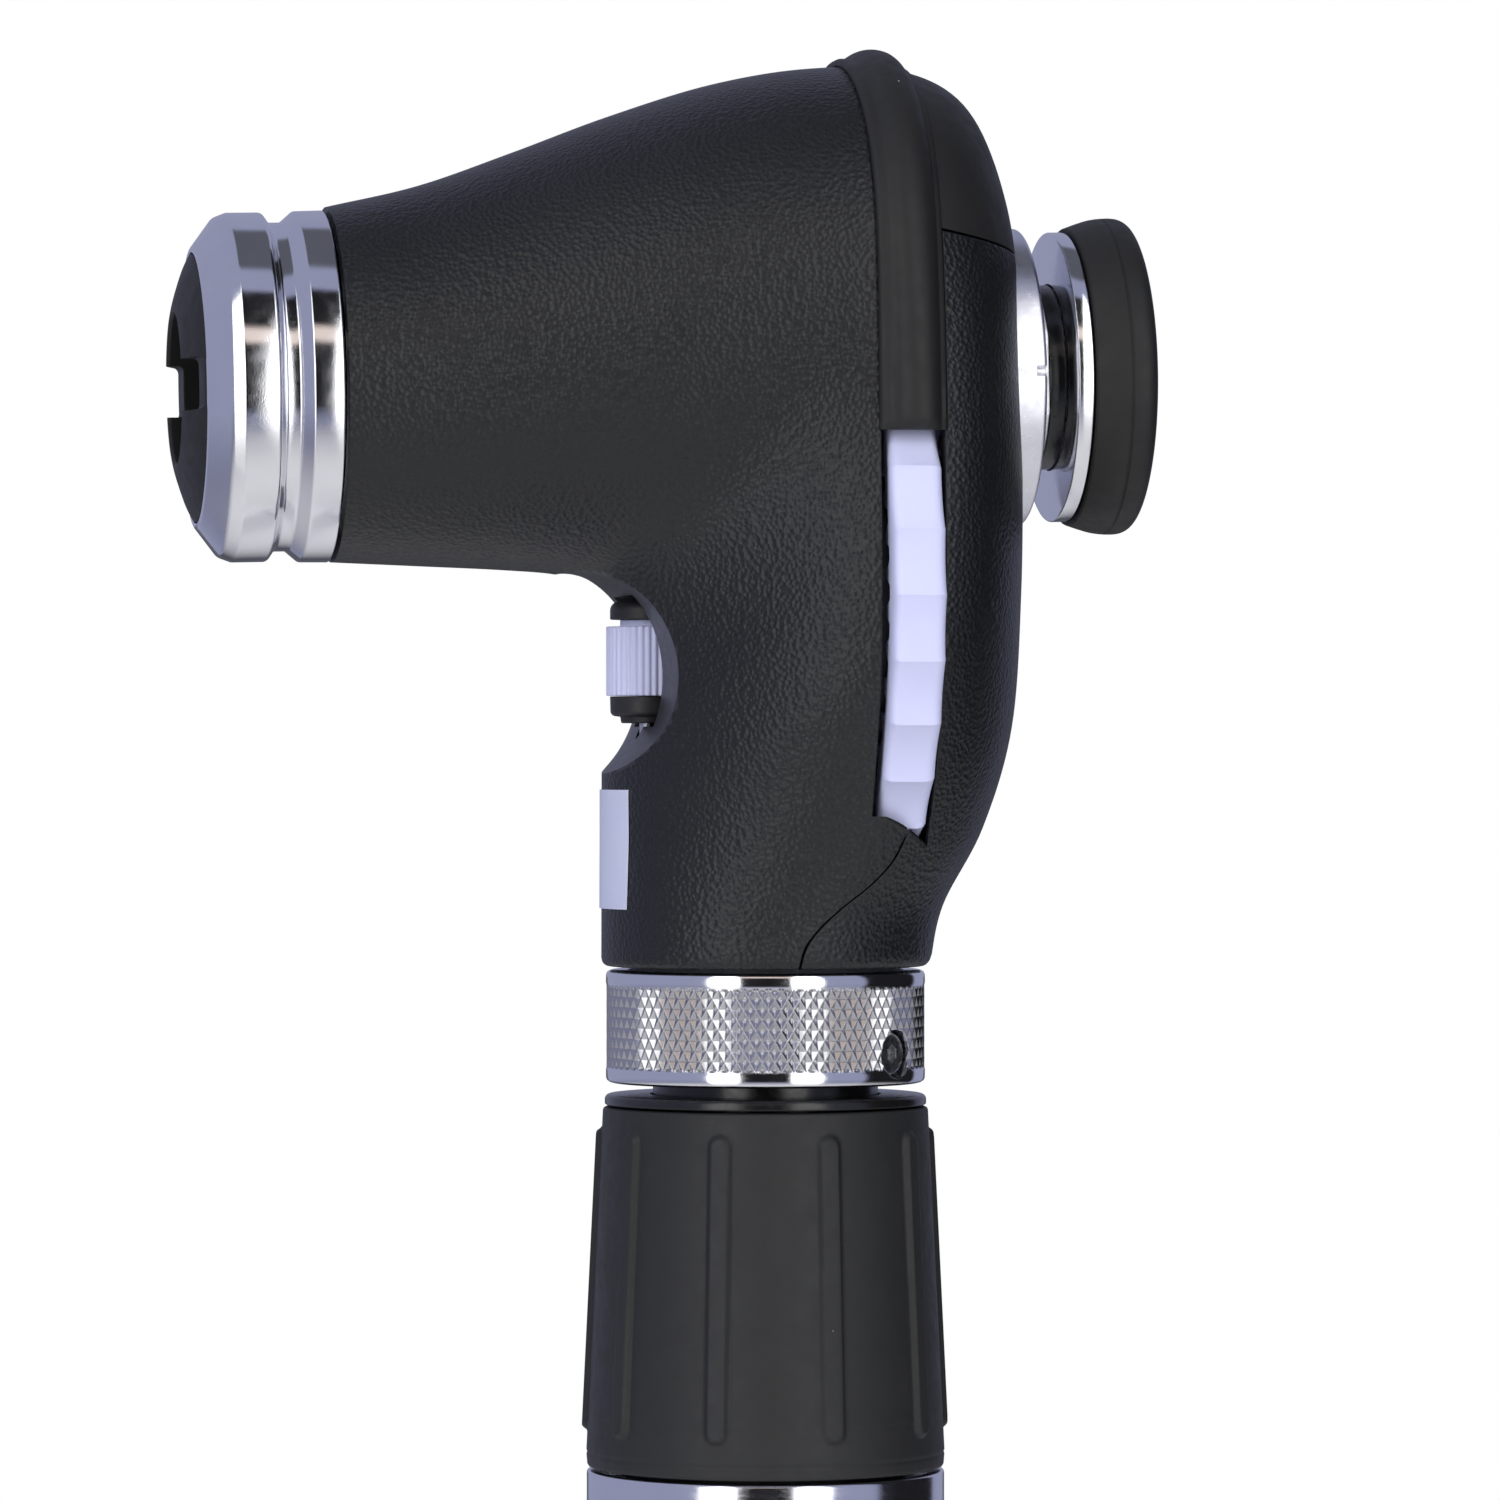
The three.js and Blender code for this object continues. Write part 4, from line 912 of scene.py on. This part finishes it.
def make_sleeve():
    """The twist sleeve: a soft tapered grip with nine ribs, a thin lip at its foot and a moulding line."""
    heights = [SLEEVE_BOTTOM + 0.22 + i * 0.2 for i in range(int((SLEEVE_TOP - SLEEVE_BOTTOM - 0.5) / 0.2) + 1)]
    outer = [(SLEEVE_BOTTOM_RADIUS - 0.22, SLEEVE_BOTTOM), (SLEEVE_BOTTOM_RADIUS - 0.07, SLEEVE_BOTTOM + 0.07)]
    outer += [(sleeve_radius(z), z) for z in heights]
    outer += [(SLEEVE_TOP_RADIUS - 0.06, SLEEVE_TOP - 0.1), (SLEEVE_TOP_RADIUS - 0.25, SLEEVE_TOP)]
    inner = [(12.3, SLEEVE_TOP), (12.3, 111.5), (14.2, 111.5), (14.2, SLEEVE_BOTTOM)]

    def shaped(radius, height, angle):
        if radius < sleeve_radius(height) - 0.3:
            return radius
        lip = -0.09 * math.exp(-(((height - LIP_Z) / 0.1) ** 2))
        lip -= 0.16 * max(0.0, (LIP_Z - height) / (LIP_Z - SLEEVE_BOTTOM))
        line = -0.04 * math.exp(-(((height - PARTING_Z) / 0.12) ** 2))
        rib = rib_height(height, angle)
        return radius + lip + line * (1 if rib < 0.01 else 0) + rib

    steps = 560
    sleeve = turned("brightness_grip", outer + inner, about_z, steps, shaped)
    combine(sleeve, radial_rod("button_hole", 3.5, 8, 20, LOCK_BUTTON_ANGLE, LOCK_BUTTON_Z))
    finish_piece(sleeve, "brightness_sleeve", "black_rubber", grip_rubber, "brightness_sleeve")


def make_lock_button():
    rings = [(0, 14.95), (0.9, 14.97), (1.1, 15.12), (1.3, 14.98), (1.5, 15.0), (1.7, 15.16), (1.9, 15.02),
             (2.2, 15.04), (2.4, 15.25), (2.7, 15.28), (3.0, 15.2), (3.15, 15.05), (3.2, 14.8)]
    outline = rings + [(3.2, 11.4), (3.25, 11.3), (3.8, 11.3), (3.9, 11.2), (3.9, 10.6), (0, 10.6)]
    button = turned("lock_button_cap", outline, about_radius(LOCK_BUTTON_ANGLE, LOCK_BUTTON_Z), 96)
    finish_piece(button, "lock_button", "lavender_plastic", lavender_plastic, "lock_button")


def make_handle_top():
    outline = rounded([(BOSS_RADIUS + 0.3, 139.1, 0), (RING_RADIUS, 139.1, 0.12), (RING_RADIUS, 140.0, 0.55),
                       (BOSS_RADIUS + 0.3, 140.0, 0)], 8)
    finish_piece(turned("handle_neck_ring", outline), "handle", "gloss_black", black_gloss, "handle_top_ring")
    boss_outline = rounded([(6.4, 138.7, 0), (BOSS_RADIUS, 138.7, 0), (BOSS_RADIUS, BOSS_TOP, 0.4),
                            (6.4, BOSS_TOP, 0.3)])
    boss = turned("bayonet_post", boss_outline, about_z, 120)
    inner, low, high = BOSS_RADIUS - 1, LUG_Z - LUG_HEIGHT / 2, LUG_Z + LUG_HEIGHT / 2
    lug = rounded([(inner, low, 0), (LUG_RADIUS, low, 0.2), (LUG_RADIUS, high, 0.2), (inner, high, 0)])
    for i in range(LUG_COUNT):
        combine(boss, arc_piece(lug, i * 360.0 / LUG_COUNT, LUG_ARC), operation="UNION")
    finish_piece(boss, "handle", "gloss_black", black_gloss, "bayonet_boss")


def arc_piece(outline, middle, arc):
    """An outline of (radius, height) swept round Z over an arc, in degrees."""
    steps = 12
    angles = [math.radians(middle - arc / 2 + arc * i / steps) for i in range(steps + 1)]
    return lofted("arc", [[about_z(radius, height, angle) for radius, height in outline] for angle in angles])


# ==== collar
def knurl(height, angle):
    """Depth of the diamond pits at a place on the collar: zero on the crossing ridges."""
    if not KNURL_BOTTOM < height < KNURL_TOP:
        return 0.0
    column = angle * KNURL_COLUMNS / (2 * math.pi)
    row = (height - KNURL_BOTTOM) * KNURL_ROWS / (KNURL_TOP - KNURL_BOTTOM)
    from_ridges = []
    for ridge in (column + row, column - row):
        share = ridge % 1.0
        from_ridges.append(2 * min(share, 1 - share))
    return KNURL_DEPTH * min(from_ridges)


def make_collar():
    per_cell = 8
    steps = KNURL_COLUMNS * per_cell
    zone = KNURL_TOP - KNURL_BOTTOM
    rows = KNURL_ROWS * per_cell
    chamfer = [(0.5, 0.0), (0.3, 0.06), (0.1, 0.2), (0.01, 0.42)]
    low = [(COLLAR_BORE, COLLAR_BOTTOM)]
    low += [(COLLAR_RADIUS - inward, COLLAR_BOTTOM + up) for inward, up in chamfer]
    high = [(radius, COLLAR_BOTTOM + COLLAR_TOP - height) for radius, height in reversed(low)]
    edge = 0.1
    outline = low + [(COLLAR_RADIUS, KNURL_BOTTOM - 2 * edge), (COLLAR_RADIUS - 0.03, KNURL_BOTTOM - edge)]
    outline += [(COLLAR_RADIUS - 0.05, KNURL_BOTTOM + zone * i / rows) for i in range(rows + 1)]
    outline += [(COLLAR_RADIUS - 0.03, KNURL_TOP + edge), (COLLAR_RADIUS, KNURL_TOP + 2 * edge)] + high

    def cut(radius, height, angle):
        return radius - knurl(height, angle) if radius > COLLAR_RADIUS - 0.06 else radius

    collar = turned("knurled_collar", outline, about_z, steps, cut)
    split_along_ridges(collar)
    combine(collar, radial_rod("screw_hole", SET_SCREW_HOLE, 10, 20, SET_SCREW_ANGLE, SET_SCREW_Z))
    finish_piece(collar, "head", "chrome", chrome, "coupling_collar", sharp=24.0)
    # The faces of the knurl pits take the darker copy of the chrome, which is painted shade in the pits.
    collar.data.materials.append(knurl_pit_shade_chrome)
    for face in collar.data.polygons:
        place = face.center / MM
        in_zone = KNURL_BOTTOM < place.z < KNURL_TOP
        if in_zone and COLLAR_BORE + 1.0 < place.xy.length < COLLAR_RADIUS - 0.055:
            face.material_index = 1

    screw_outline = [(0, 11.95), (1.8, 11.95), (1.8, 12.95), (1.65, 13.1), (0, 13.1)]
    place = about_radius(SET_SCREW_ANGLE, SET_SCREW_Z)
    screw = turned("collar_grub_screw", screw_outline, place, 64)
    combine(screw, turned("hexagon", [(0, 12.4), (0.75, 12.4), (0.75, 14), (0, 14)], place, 6))
    finish_piece(screw, "head", "spring_steel", steel, "collar_set_screw")


def split_along_ridges(piece):
    """Cuts each four-sided face in two along the diagonal that lies higher, so that ridges stay sharp."""
    shape = bmesh.new()
    shape.from_mesh(piece.data)
    shape.faces.ensure_lookup_table()
    pairs = []
    for face in shape.faces:
        if len(face.verts) == 4:
            reach = [vertex.co.xy.length for vertex in face.verts]
            first = reach[0] + reach[2] > reach[1] + reach[3]
            pairs.append((face, face.verts[0 if first else 1], face.verts[2 if first else 3]))
    for face, start, end in pairs:
        bmesh.utils.face_split(face, start, end)
    shape.to_mesh(piece.data)
    shape.free()


# ==== wheels
def tooth_radius(angle):
    """The focusing wheel's inner radius: straight-sided teeth, one in mesh with the pinion."""
    share = ((angle - PINION_ANGLE) * WHEEL_TEETH / (2 * math.pi)) % 1.0
    from_tip = min(share, 1 - share)
    rise = min(1.0, max(0.0, (from_tip - 0.14) / 0.17))
    return WHEEL_TOOTH_TIP + rise * (WHEEL_TOOTH_ROOT - WHEEL_TOOTH_TIP)


def make_focus_wheel():
    half = (WHEEL_RIGHT - WHEEL_LEFT) / 2
    middle = (WHEEL_RIGHT + WHEEL_LEFT) / 2
    rim = []
    for i in range(25):
        share = i / 12 - 1
        rim.append((WHEEL_RADIUS - 0.55 * abs(share) ** 7, middle + half * share))
    shoulder = WHEEL_RADIUS - 2.2
    outline = rim + [(shoulder, WHEEL_RIGHT), (WHEEL_TOOTH_TIP, WHEEL_RIGHT), (WHEEL_TOOTH_TIP, WHEEL_LEFT),
                     (shoulder, WHEEL_LEFT)]

    def shaped(radius, x, angle):
        if radius < WHEEL_TOOTH_TIP + 0.01:
            return tooth_radius(angle)
        if radius < WHEEL_RADIUS - 1.5:
            return radius
        share = (angle * WHEEL_SCALLOPS / (2 * math.pi)) % 1.0
        return radius - WHEEL_SCALLOP_DEPTH * math.cos(math.pi * (share - 0.5)) ** 0.8 * (1 - 0.12 * share)

    wheel = turned("focusing_wheel", outline, about_wheel, 672, shaped)
    finish_piece(wheel, "focus_wheel", "lavender_plastic", lavender_plastic, "focus_wheel", sharp=40.0)


def make_dial():
    band = rounded([(1.1, 174.25, 0), (DIAL_RADIUS, 174.25, 0.12), (DIAL_RADIUS, 180.2, 0.12),
                    (2.45, 180.2, 0.05), (2.45, 180.75, 0), (1.1, 180.75, 0)], 4)

    def ribbed(radius, height, angle):
        if radius < DIAL_RADIUS - 0.2:
            return radius
        return radius - 0.16 * (0.5 - 0.5 * math.cos(DIAL_RIBS * angle)) ** 1.5

    dial = turned("aperture_thumbwheel", band, about_dial, DIAL_RIBS * 12, ribbed)
    finish_piece(dial, "aperture_dial", "lavender_plastic", lavender_plastic, "aperture_dial")
    lower = rounded([(1.1, 171.9, 0), (2.35, 171.9, 0.15), (2.45, 172.45, 0), (3.28, 172.55, 0.75),
                     (3.32, 174.2, 0.05), (1.1, 174.2, 0)], 8)
    finish_piece(turned("dial_lower_cap", lower, about_dial, 96), "aperture_dial", "black_plastic", inner_black)
    upper = rounded([(1.1, 180.8, 0), (3.32, 180.8, 0.1), (3.32, 182.35, 0.8), (1.1, 182.35, 0)], 8)
    finish_piece(turned("dial_upper_cap", upper, about_dial, 96), "aperture_dial", "black_plastic", inner_black)


# ==== patient end
def make_patient_end():
    ring_outline = rounded([
        (11.5, -49.5, 0.1), (12.0, -49.42, 0.4), (14.45, -47.6, 0.9), (14.87, -46.5, 0.5), (14.87, -43.6, 0.45),
        (14.0, -43.0, 0.45), (14.0, -41.85, 0.45), (14.95, -40.75, 0.4), (15.0, -38.25, 0.15),
        (12.9, -38.25, 0),
        (12.9, -34.0, 0.1), (11.3, -34.0, 0.1), (11.3, -47.0, 0), (11.5, -47.05, 0)], 7)
    ring = turned("patient_ring", ring_outline, about_sight, 200)
    finish_piece(ring, "head", "chrome", chrome, "front_ring", sharp=28.0)

    dome = spline([(11.4, -49.5), (10.4, -50.0), (9.0, -50.5), (7.7, -50.9), (6.8, -51.1)], 5)
    bezel_outline = dome + [(6.55, -51.05), (6.4, -50.85), (6.55, -49.9), (7.2, -47.3), (11.4, -47.3)]
    bezel = turned("patient_bezel", bezel_outline, about_sight, 160)
    for side in (-1, 1):
        combine(bezel, bezel_notch(side))
    finish_piece(bezel, "head", "black_plastic", rubber, "front_bezel")

    cell = rounded([(8.0, -46.4, 0.1), (11.0, -46.4, 0.1), (11.0, -36, 0.1), (9.2, -36, 0.1), (9.2, -45.2, 0),
                    (8.0, -45.2, 0.1)])
    mount = turned("objective_mount", cell, about_sight)
    finish_piece(mount, "head", "black_plastic", inner_black, "objective_cell")
    lens = lens_outline(8.9, -44.6, -39.4, -42.8, -41.2)
    lens_piece = turned("objective_glass", lens, about_sight, 96)
    finish_piece(lens_piece, "head", "lens_glass", glass, "objective_lens")


def bezel_notch(side):
    """The slot that splits the bezel's dome, with rounded corners at its floor."""
    half, floor = 2.2, -49.6
    corners = rounded([(-60, -half, 0), (floor, -half, 0.5), (floor, half, 0.5), (-60, half, 0)], 5)
    return prism("notch", corners, side * 5.5, side * 13.5, on_sight)


def lens_outline(radius, front, back, rim_front, rim_back):
    """Two shallow curves that meet a flat rim."""
    steps = 10
    left = [(radius * i / steps, front + (rim_front - front) * (i / steps) ** 2) for i in range(steps + 1)]
    right = [(radius * i / steps, back + (rim_back - back) * (i / steps) ** 2) for i in range(steps, -1, -1)]
    return left + right


# ==== practitioner end
def make_practitioner_end():
    flange = rounded([(8.1, 16.0, 0), (12.9, 16.0, 0.1), (12.9, 22.1, 0.35), (8.1, 22.1, 0.1)], 6)
    flange_piece = turned("eyepiece_flange_body", flange, about_sight, 160)
    dimple = turned("dimple", [(0, 21.2), (0.5, 21.2), (0.5, 23), (0, 23)],
                    lambda across, along, around: on_sight(along, -12.6 + across * math.sin(around),
                                                           across * math.cos(around)), 24)
    combine(flange_piece, dimple)
    finish_piece(flange_piece, "head", "satin_aluminium", aluminium, "eyepiece_flange")

    neck = rounded([(6.2, 14.5, 0), (7.8, 14.5, 0), (7.8, 22.4, 0), (8.3, 22.4, 0.1), (8.3, 23.35, 0.1),
                    (7.4, 23.4, 0), (7.4, 27.6, 0.1), (6.2, 27.6, 0.1)])
    neck_piece = turned("eyepiece_barrel", neck, about_sight, 120)
    for side in (-1, 1):
        combine(neck_piece, box_piece("flat", (22.4, side * 7.5, -9), (24.5, side * 11.5, 9), on_sight))
    finish_piece(neck_piece, "head", "satin_aluminium", aluminium, "eyepiece_neck")

    liner = rounded([(7.5, 23.45, 0), (8.0, 23.45, 0.1), (8.0, 24.85, 0.1), (7.5, 24.85, 0)])
    finish_piece(turned("eyepiece_liner", liner, about_sight, 120), "head", "gloss_black", black_gloss)

    disc = rounded([(8.1, 24.9, 0), (12.55, 24.9, 0.15), (12.55, 26.25, 0.12), (8.1, 26.25, 0)], 5)
    finish_piece(turned("eyepiece_disc", disc, about_sight, 160), "head", "chrome", chrome, "eyepiece_ring")

    cup = [(8.1, 26.4), (12.75, 26.4)]
    cup += spline([(12.9, 26.5), (13.25, 27.5), (13.55, 28.5), (13.68, 29.3)], 4)
    cup += [(13.6, 29.38), (13.6, 29.46)]
    cup += spline([(13.7, 29.54), (13.72, 30.3), (13.62, 30.95), (13.3, 31.45), (12.7, 31.75), (11.8, 31.86),
                   (10.6, 31.8), (9.6, 31.35), (8.95, 30.4), (8.65, 29.2), (8.3, 28.3)], 4)
    cup += [(8.1, 27.9)]
    finish_piece(turned("rubber_eyecup", cup, about_sight, 160), "head", "black_rubber", rubber, "eyecup")
    lens = lens_outline(5.9, 22.2, 25.9, 23.2, 24.6)
    finish_piece(turned("eyepiece_glass", lens, about_sight, 80), "head", "lens_glass", glass, "eyepiece_lens")


# ==== inner pieces
def dress_inner_nodes():
    """Gives each CAD node that stays its own finish."""
    finishes = {
        "grey_plastic": inner_grey, "black_plastic": inner_black, "black_rubber": rubber,
        "gloss_black": black_gloss, "brass": brass, "spring_steel": steel,
        "satin_aluminium": aluminium, "battery_wrap": battery_wrap,
        "lens_glass": glass, "mirror": mirror_silver, "chrome": chrome, "lavender_plastic": lavender_plastic,
        "label": label_film,
    }
    for entry in frame["record"]["subparts"]:
        node = frame["nodes"][entry["node"]]
        if not node.hide_render:
            node.data.materials.clear()
            node.data.materials.append(finishes[entry["material_slot"]])
            node.data.shade_smooth()
            node.data.set_sharp_from_angle(angle=math.radians(30))


# ==== stage
def make_camera():
    azimuth = math.radians(CAMERA_AZIMUTH)
    back = Vector((math.sin(azimuth), -math.cos(azimuth), 0))
    camera = bpy.data.objects.new("camera", bpy.data.cameras.new("camera"))
    camera.data.lens = CAMERA_LENS
    camera.data.sensor_width = CAMERA_SENSOR
    camera.data.clip_start = 0.01
    camera.data.clip_end = 20
    camera.location = (Vector(CAMERA_TARGET) + back * CAMERA_DISTANCE) * MM
    camera.rotation_euler = (math.radians(90), 0, azimuth)
    bpy.context.scene.collection.objects.link(camera)
    bpy.context.scene.camera = camera


def make_floor():
    """A pale round floor whose edge fades away into the white of the background."""
    steps, radius = 96, 600.0
    points = [(radius * math.cos(2 * math.pi * j / steps), radius * math.sin(2 * math.pi * j / steps), -0.05)
              for j in range(steps)]
    floor = mesh_object("floor", points, [tuple(range(steps))])
    material = bpy.data.materials.new("pale_floor")
    material.use_nodes = True
    tree = material.node_tree
    shader = tree.nodes["Principled BSDF"]
    shader.inputs["Base Color"].default_value = (0.9, 0.89, 0.85, 1)
    shader.inputs["Roughness"].default_value = 0.8
    shader.inputs["Specular IOR Level"].default_value = 0.1
    clear = new_node(tree, "ShaderNodeBsdfTransparent")
    place = new_node(tree, "ShaderNodeTexCoord")
    length = new_node(tree, "ShaderNodeVectorMath", operation="LENGTH")
    fade = new_node(tree, "ShaderNodeMapRange", ranges(0.06, 0.5, 0.0, 1.0), interpolation_type="SMOOTHSTEP")
    mix = new_node(tree, "ShaderNodeMixShader")
    tree.links.new(place.outputs["Object"], length.inputs[0])
    tree.links.new(length.outputs["Value"], fade.inputs["Value"])
    tree.links.new(fade.outputs["Result"], mix.inputs["Fac"])
    tree.links.new(shader.outputs[0], mix.inputs[1])
    tree.links.new(clear.outputs[0], mix.inputs[2])
    tree.links.new(mix.outputs[0], tree.nodes["Material Output"].inputs["Surface"])
    floor.data.materials.append(material)


def make_studio():
    """White behind the object. Its mirrorings show a studio of soft boxes, grey walls and dark panels."""
    world = bpy.data.worlds.new("studio")
    bpy.context.scene.world = world
    world.use_nodes = True
    tree = world.node_tree
    tree.nodes.clear()

    def node(kind, sockets=None, **settings):
        return new_node(tree, kind, sockets, **settings)

    def math_node(operation, first, second=0.0):
        made = node("ShaderNodeMath", operation=operation)
        for socket, value in zip(made.inputs, (first, second)):
            if isinstance(value, (int, float)):
                socket.default_value = value
            else:
                tree.links.new(value, socket)
        return made.outputs[0]

    direction = node("ShaderNodeTexCoord").outputs["Generated"]

    def along(vector):
        made = node("ShaderNodeVectorMath", {1: vector}, operation="DOT_PRODUCT")
        tree.links.new(direction, made.inputs[0])
        return made.outputs["Value"]

    azimuth = math.radians(CAMERA_AZIMUTH)
    forward = along((math.sin(azimuth), -math.cos(azimuth), 0))
    side = along((math.cos(azimuth), math.sin(azimuth), 0))
    up = along((0, 0, 1))

    def ramp(angle, stops):
        """Grey levels and tints round a circle, from stops of (degrees, colour)."""
        share = math_node("ADD", math_node("DIVIDE", angle, 2 * math.pi), 0.5)
        made = node("ShaderNodeValToRGB")
        elements = made.color_ramp.elements
        while len(elements) > 1:
            elements.remove(elements[0])
        elements[0].position = 0.0
        elements[0].color = (*stops[0][1], 1)
        for degrees, color in stops[1:]:
            element = elements.new(degrees / 360 + 0.5)
            element.color = (*color, 1)
        tree.links.new(share, made.inputs["Fac"])
        return made.outputs["Color"]

    wall = (0.30, 0.315, 0.45)
    bright = (2.3, 2.3, 2.3)
    dark = (0.012, 0.012, 0.014)
    dim = (0.10, 0.105, 0.13)
    warm = (0.85, 0.72, 0.66)
    over = ramp(math_node("ARCTAN2", up, forward), [
        (-180, dim), (-138, dim), (-134, wall), (-114, wall), (-111, dim), (-101, dim), (-97, wall),
        (-24, wall), (-15, dark), (26, dark), (29, warm), (36, warm), (40, dark), (63, dark), (66, wall),
        (81, wall), (85, dim), (122, dim), (127, wall), (180, wall)])
    round_about = ramp(math_node("ARCTAN2", side, forward), [
        (-180, wall), (-44, wall), (-41.5, bright), (-19, bright), (-17.2, dark), (17.2, dark), (19, bright),
        (41.5, bright), (44, wall), (76, wall), (80, dark), (134, dark), (138, wall), (180, wall)])
    central = math_node("LESS_THAN", math_node("ABSOLUTE", side), 0.305)
    mix = node("ShaderNodeMix", data_type="RGBA")
    tree.links.new(central, mix.inputs["Factor"])
    tree.links.new(round_about, mix.inputs[6])
    tree.links.new(over, mix.inputs[7])
    from_below = node("ShaderNodeMapRange", ranges(-0.7, -0.15, 0.35, 1.0))
    tree.links.new(up, from_below.inputs["Value"])

    studio = node("ShaderNodeBackground")
    tree.links.new(mix.outputs[2], studio.inputs["Color"])
    tree.links.new(from_below.outputs["Result"], studio.inputs["Strength"])
    white = node("ShaderNodeBackground", {"Color": (1, 1, 1, 1)})
    seen = node("ShaderNodeLightPath").outputs["Is Camera Ray"]
    choose = node("ShaderNodeMixShader")
    tree.links.new(seen, choose.inputs["Fac"])
    tree.links.new(studio.outputs[0], choose.inputs[1])
    tree.links.new(white.outputs[0], choose.inputs[2])
    tree.links.new(choose.outputs[0], node("ShaderNodeOutputWorld").inputs["Surface"])


def make_light(name, place, aim, size, power):
    """A soft box that lights the object but isn't mirrored in it."""
    data = bpy.data.lights.new(name, "AREA")
    data.shape = "RECTANGLE"
    data.size, data.size_y = size[0] * MM, size[1] * MM
    data.energy = power
    lamp = bpy.data.objects.new(name, data)
    lamp.location = Vector(place) * MM
    lamp.rotation_euler = (Vector(aim) - Vector(place)).to_track_quat("-Z", "Y").to_euler()
    lamp.visible_camera = False
    lamp.visible_glossy = False
    bpy.context.scene.collection.objects.link(lamp)


make_camera()
bpy.context.scene.view_settings.view_transform = "Standard"
make_studio()
make_floor()
make_light("left_box", (-560, -640, 480), (0, 0, 180), (300, 520), 1.7)
make_light("right_box", (330, -760, 480), (0, 0, 180), (300, 520), 1.7)
make_light("top_box", (-60, 60, 800), (0, 0, 190), (500, 300), 2.0)

make_end_cap()
make_barrel()
make_sleeve()
make_lock_button()
make_handle_top()
make_collar()
outer_surface = make_housing()
make_brow_band(outer_surface)
make_label(outer_surface)
make_focus_wheel()
make_dial()
make_patient_end()
make_practitioner_end()
dress_inner_nodes()
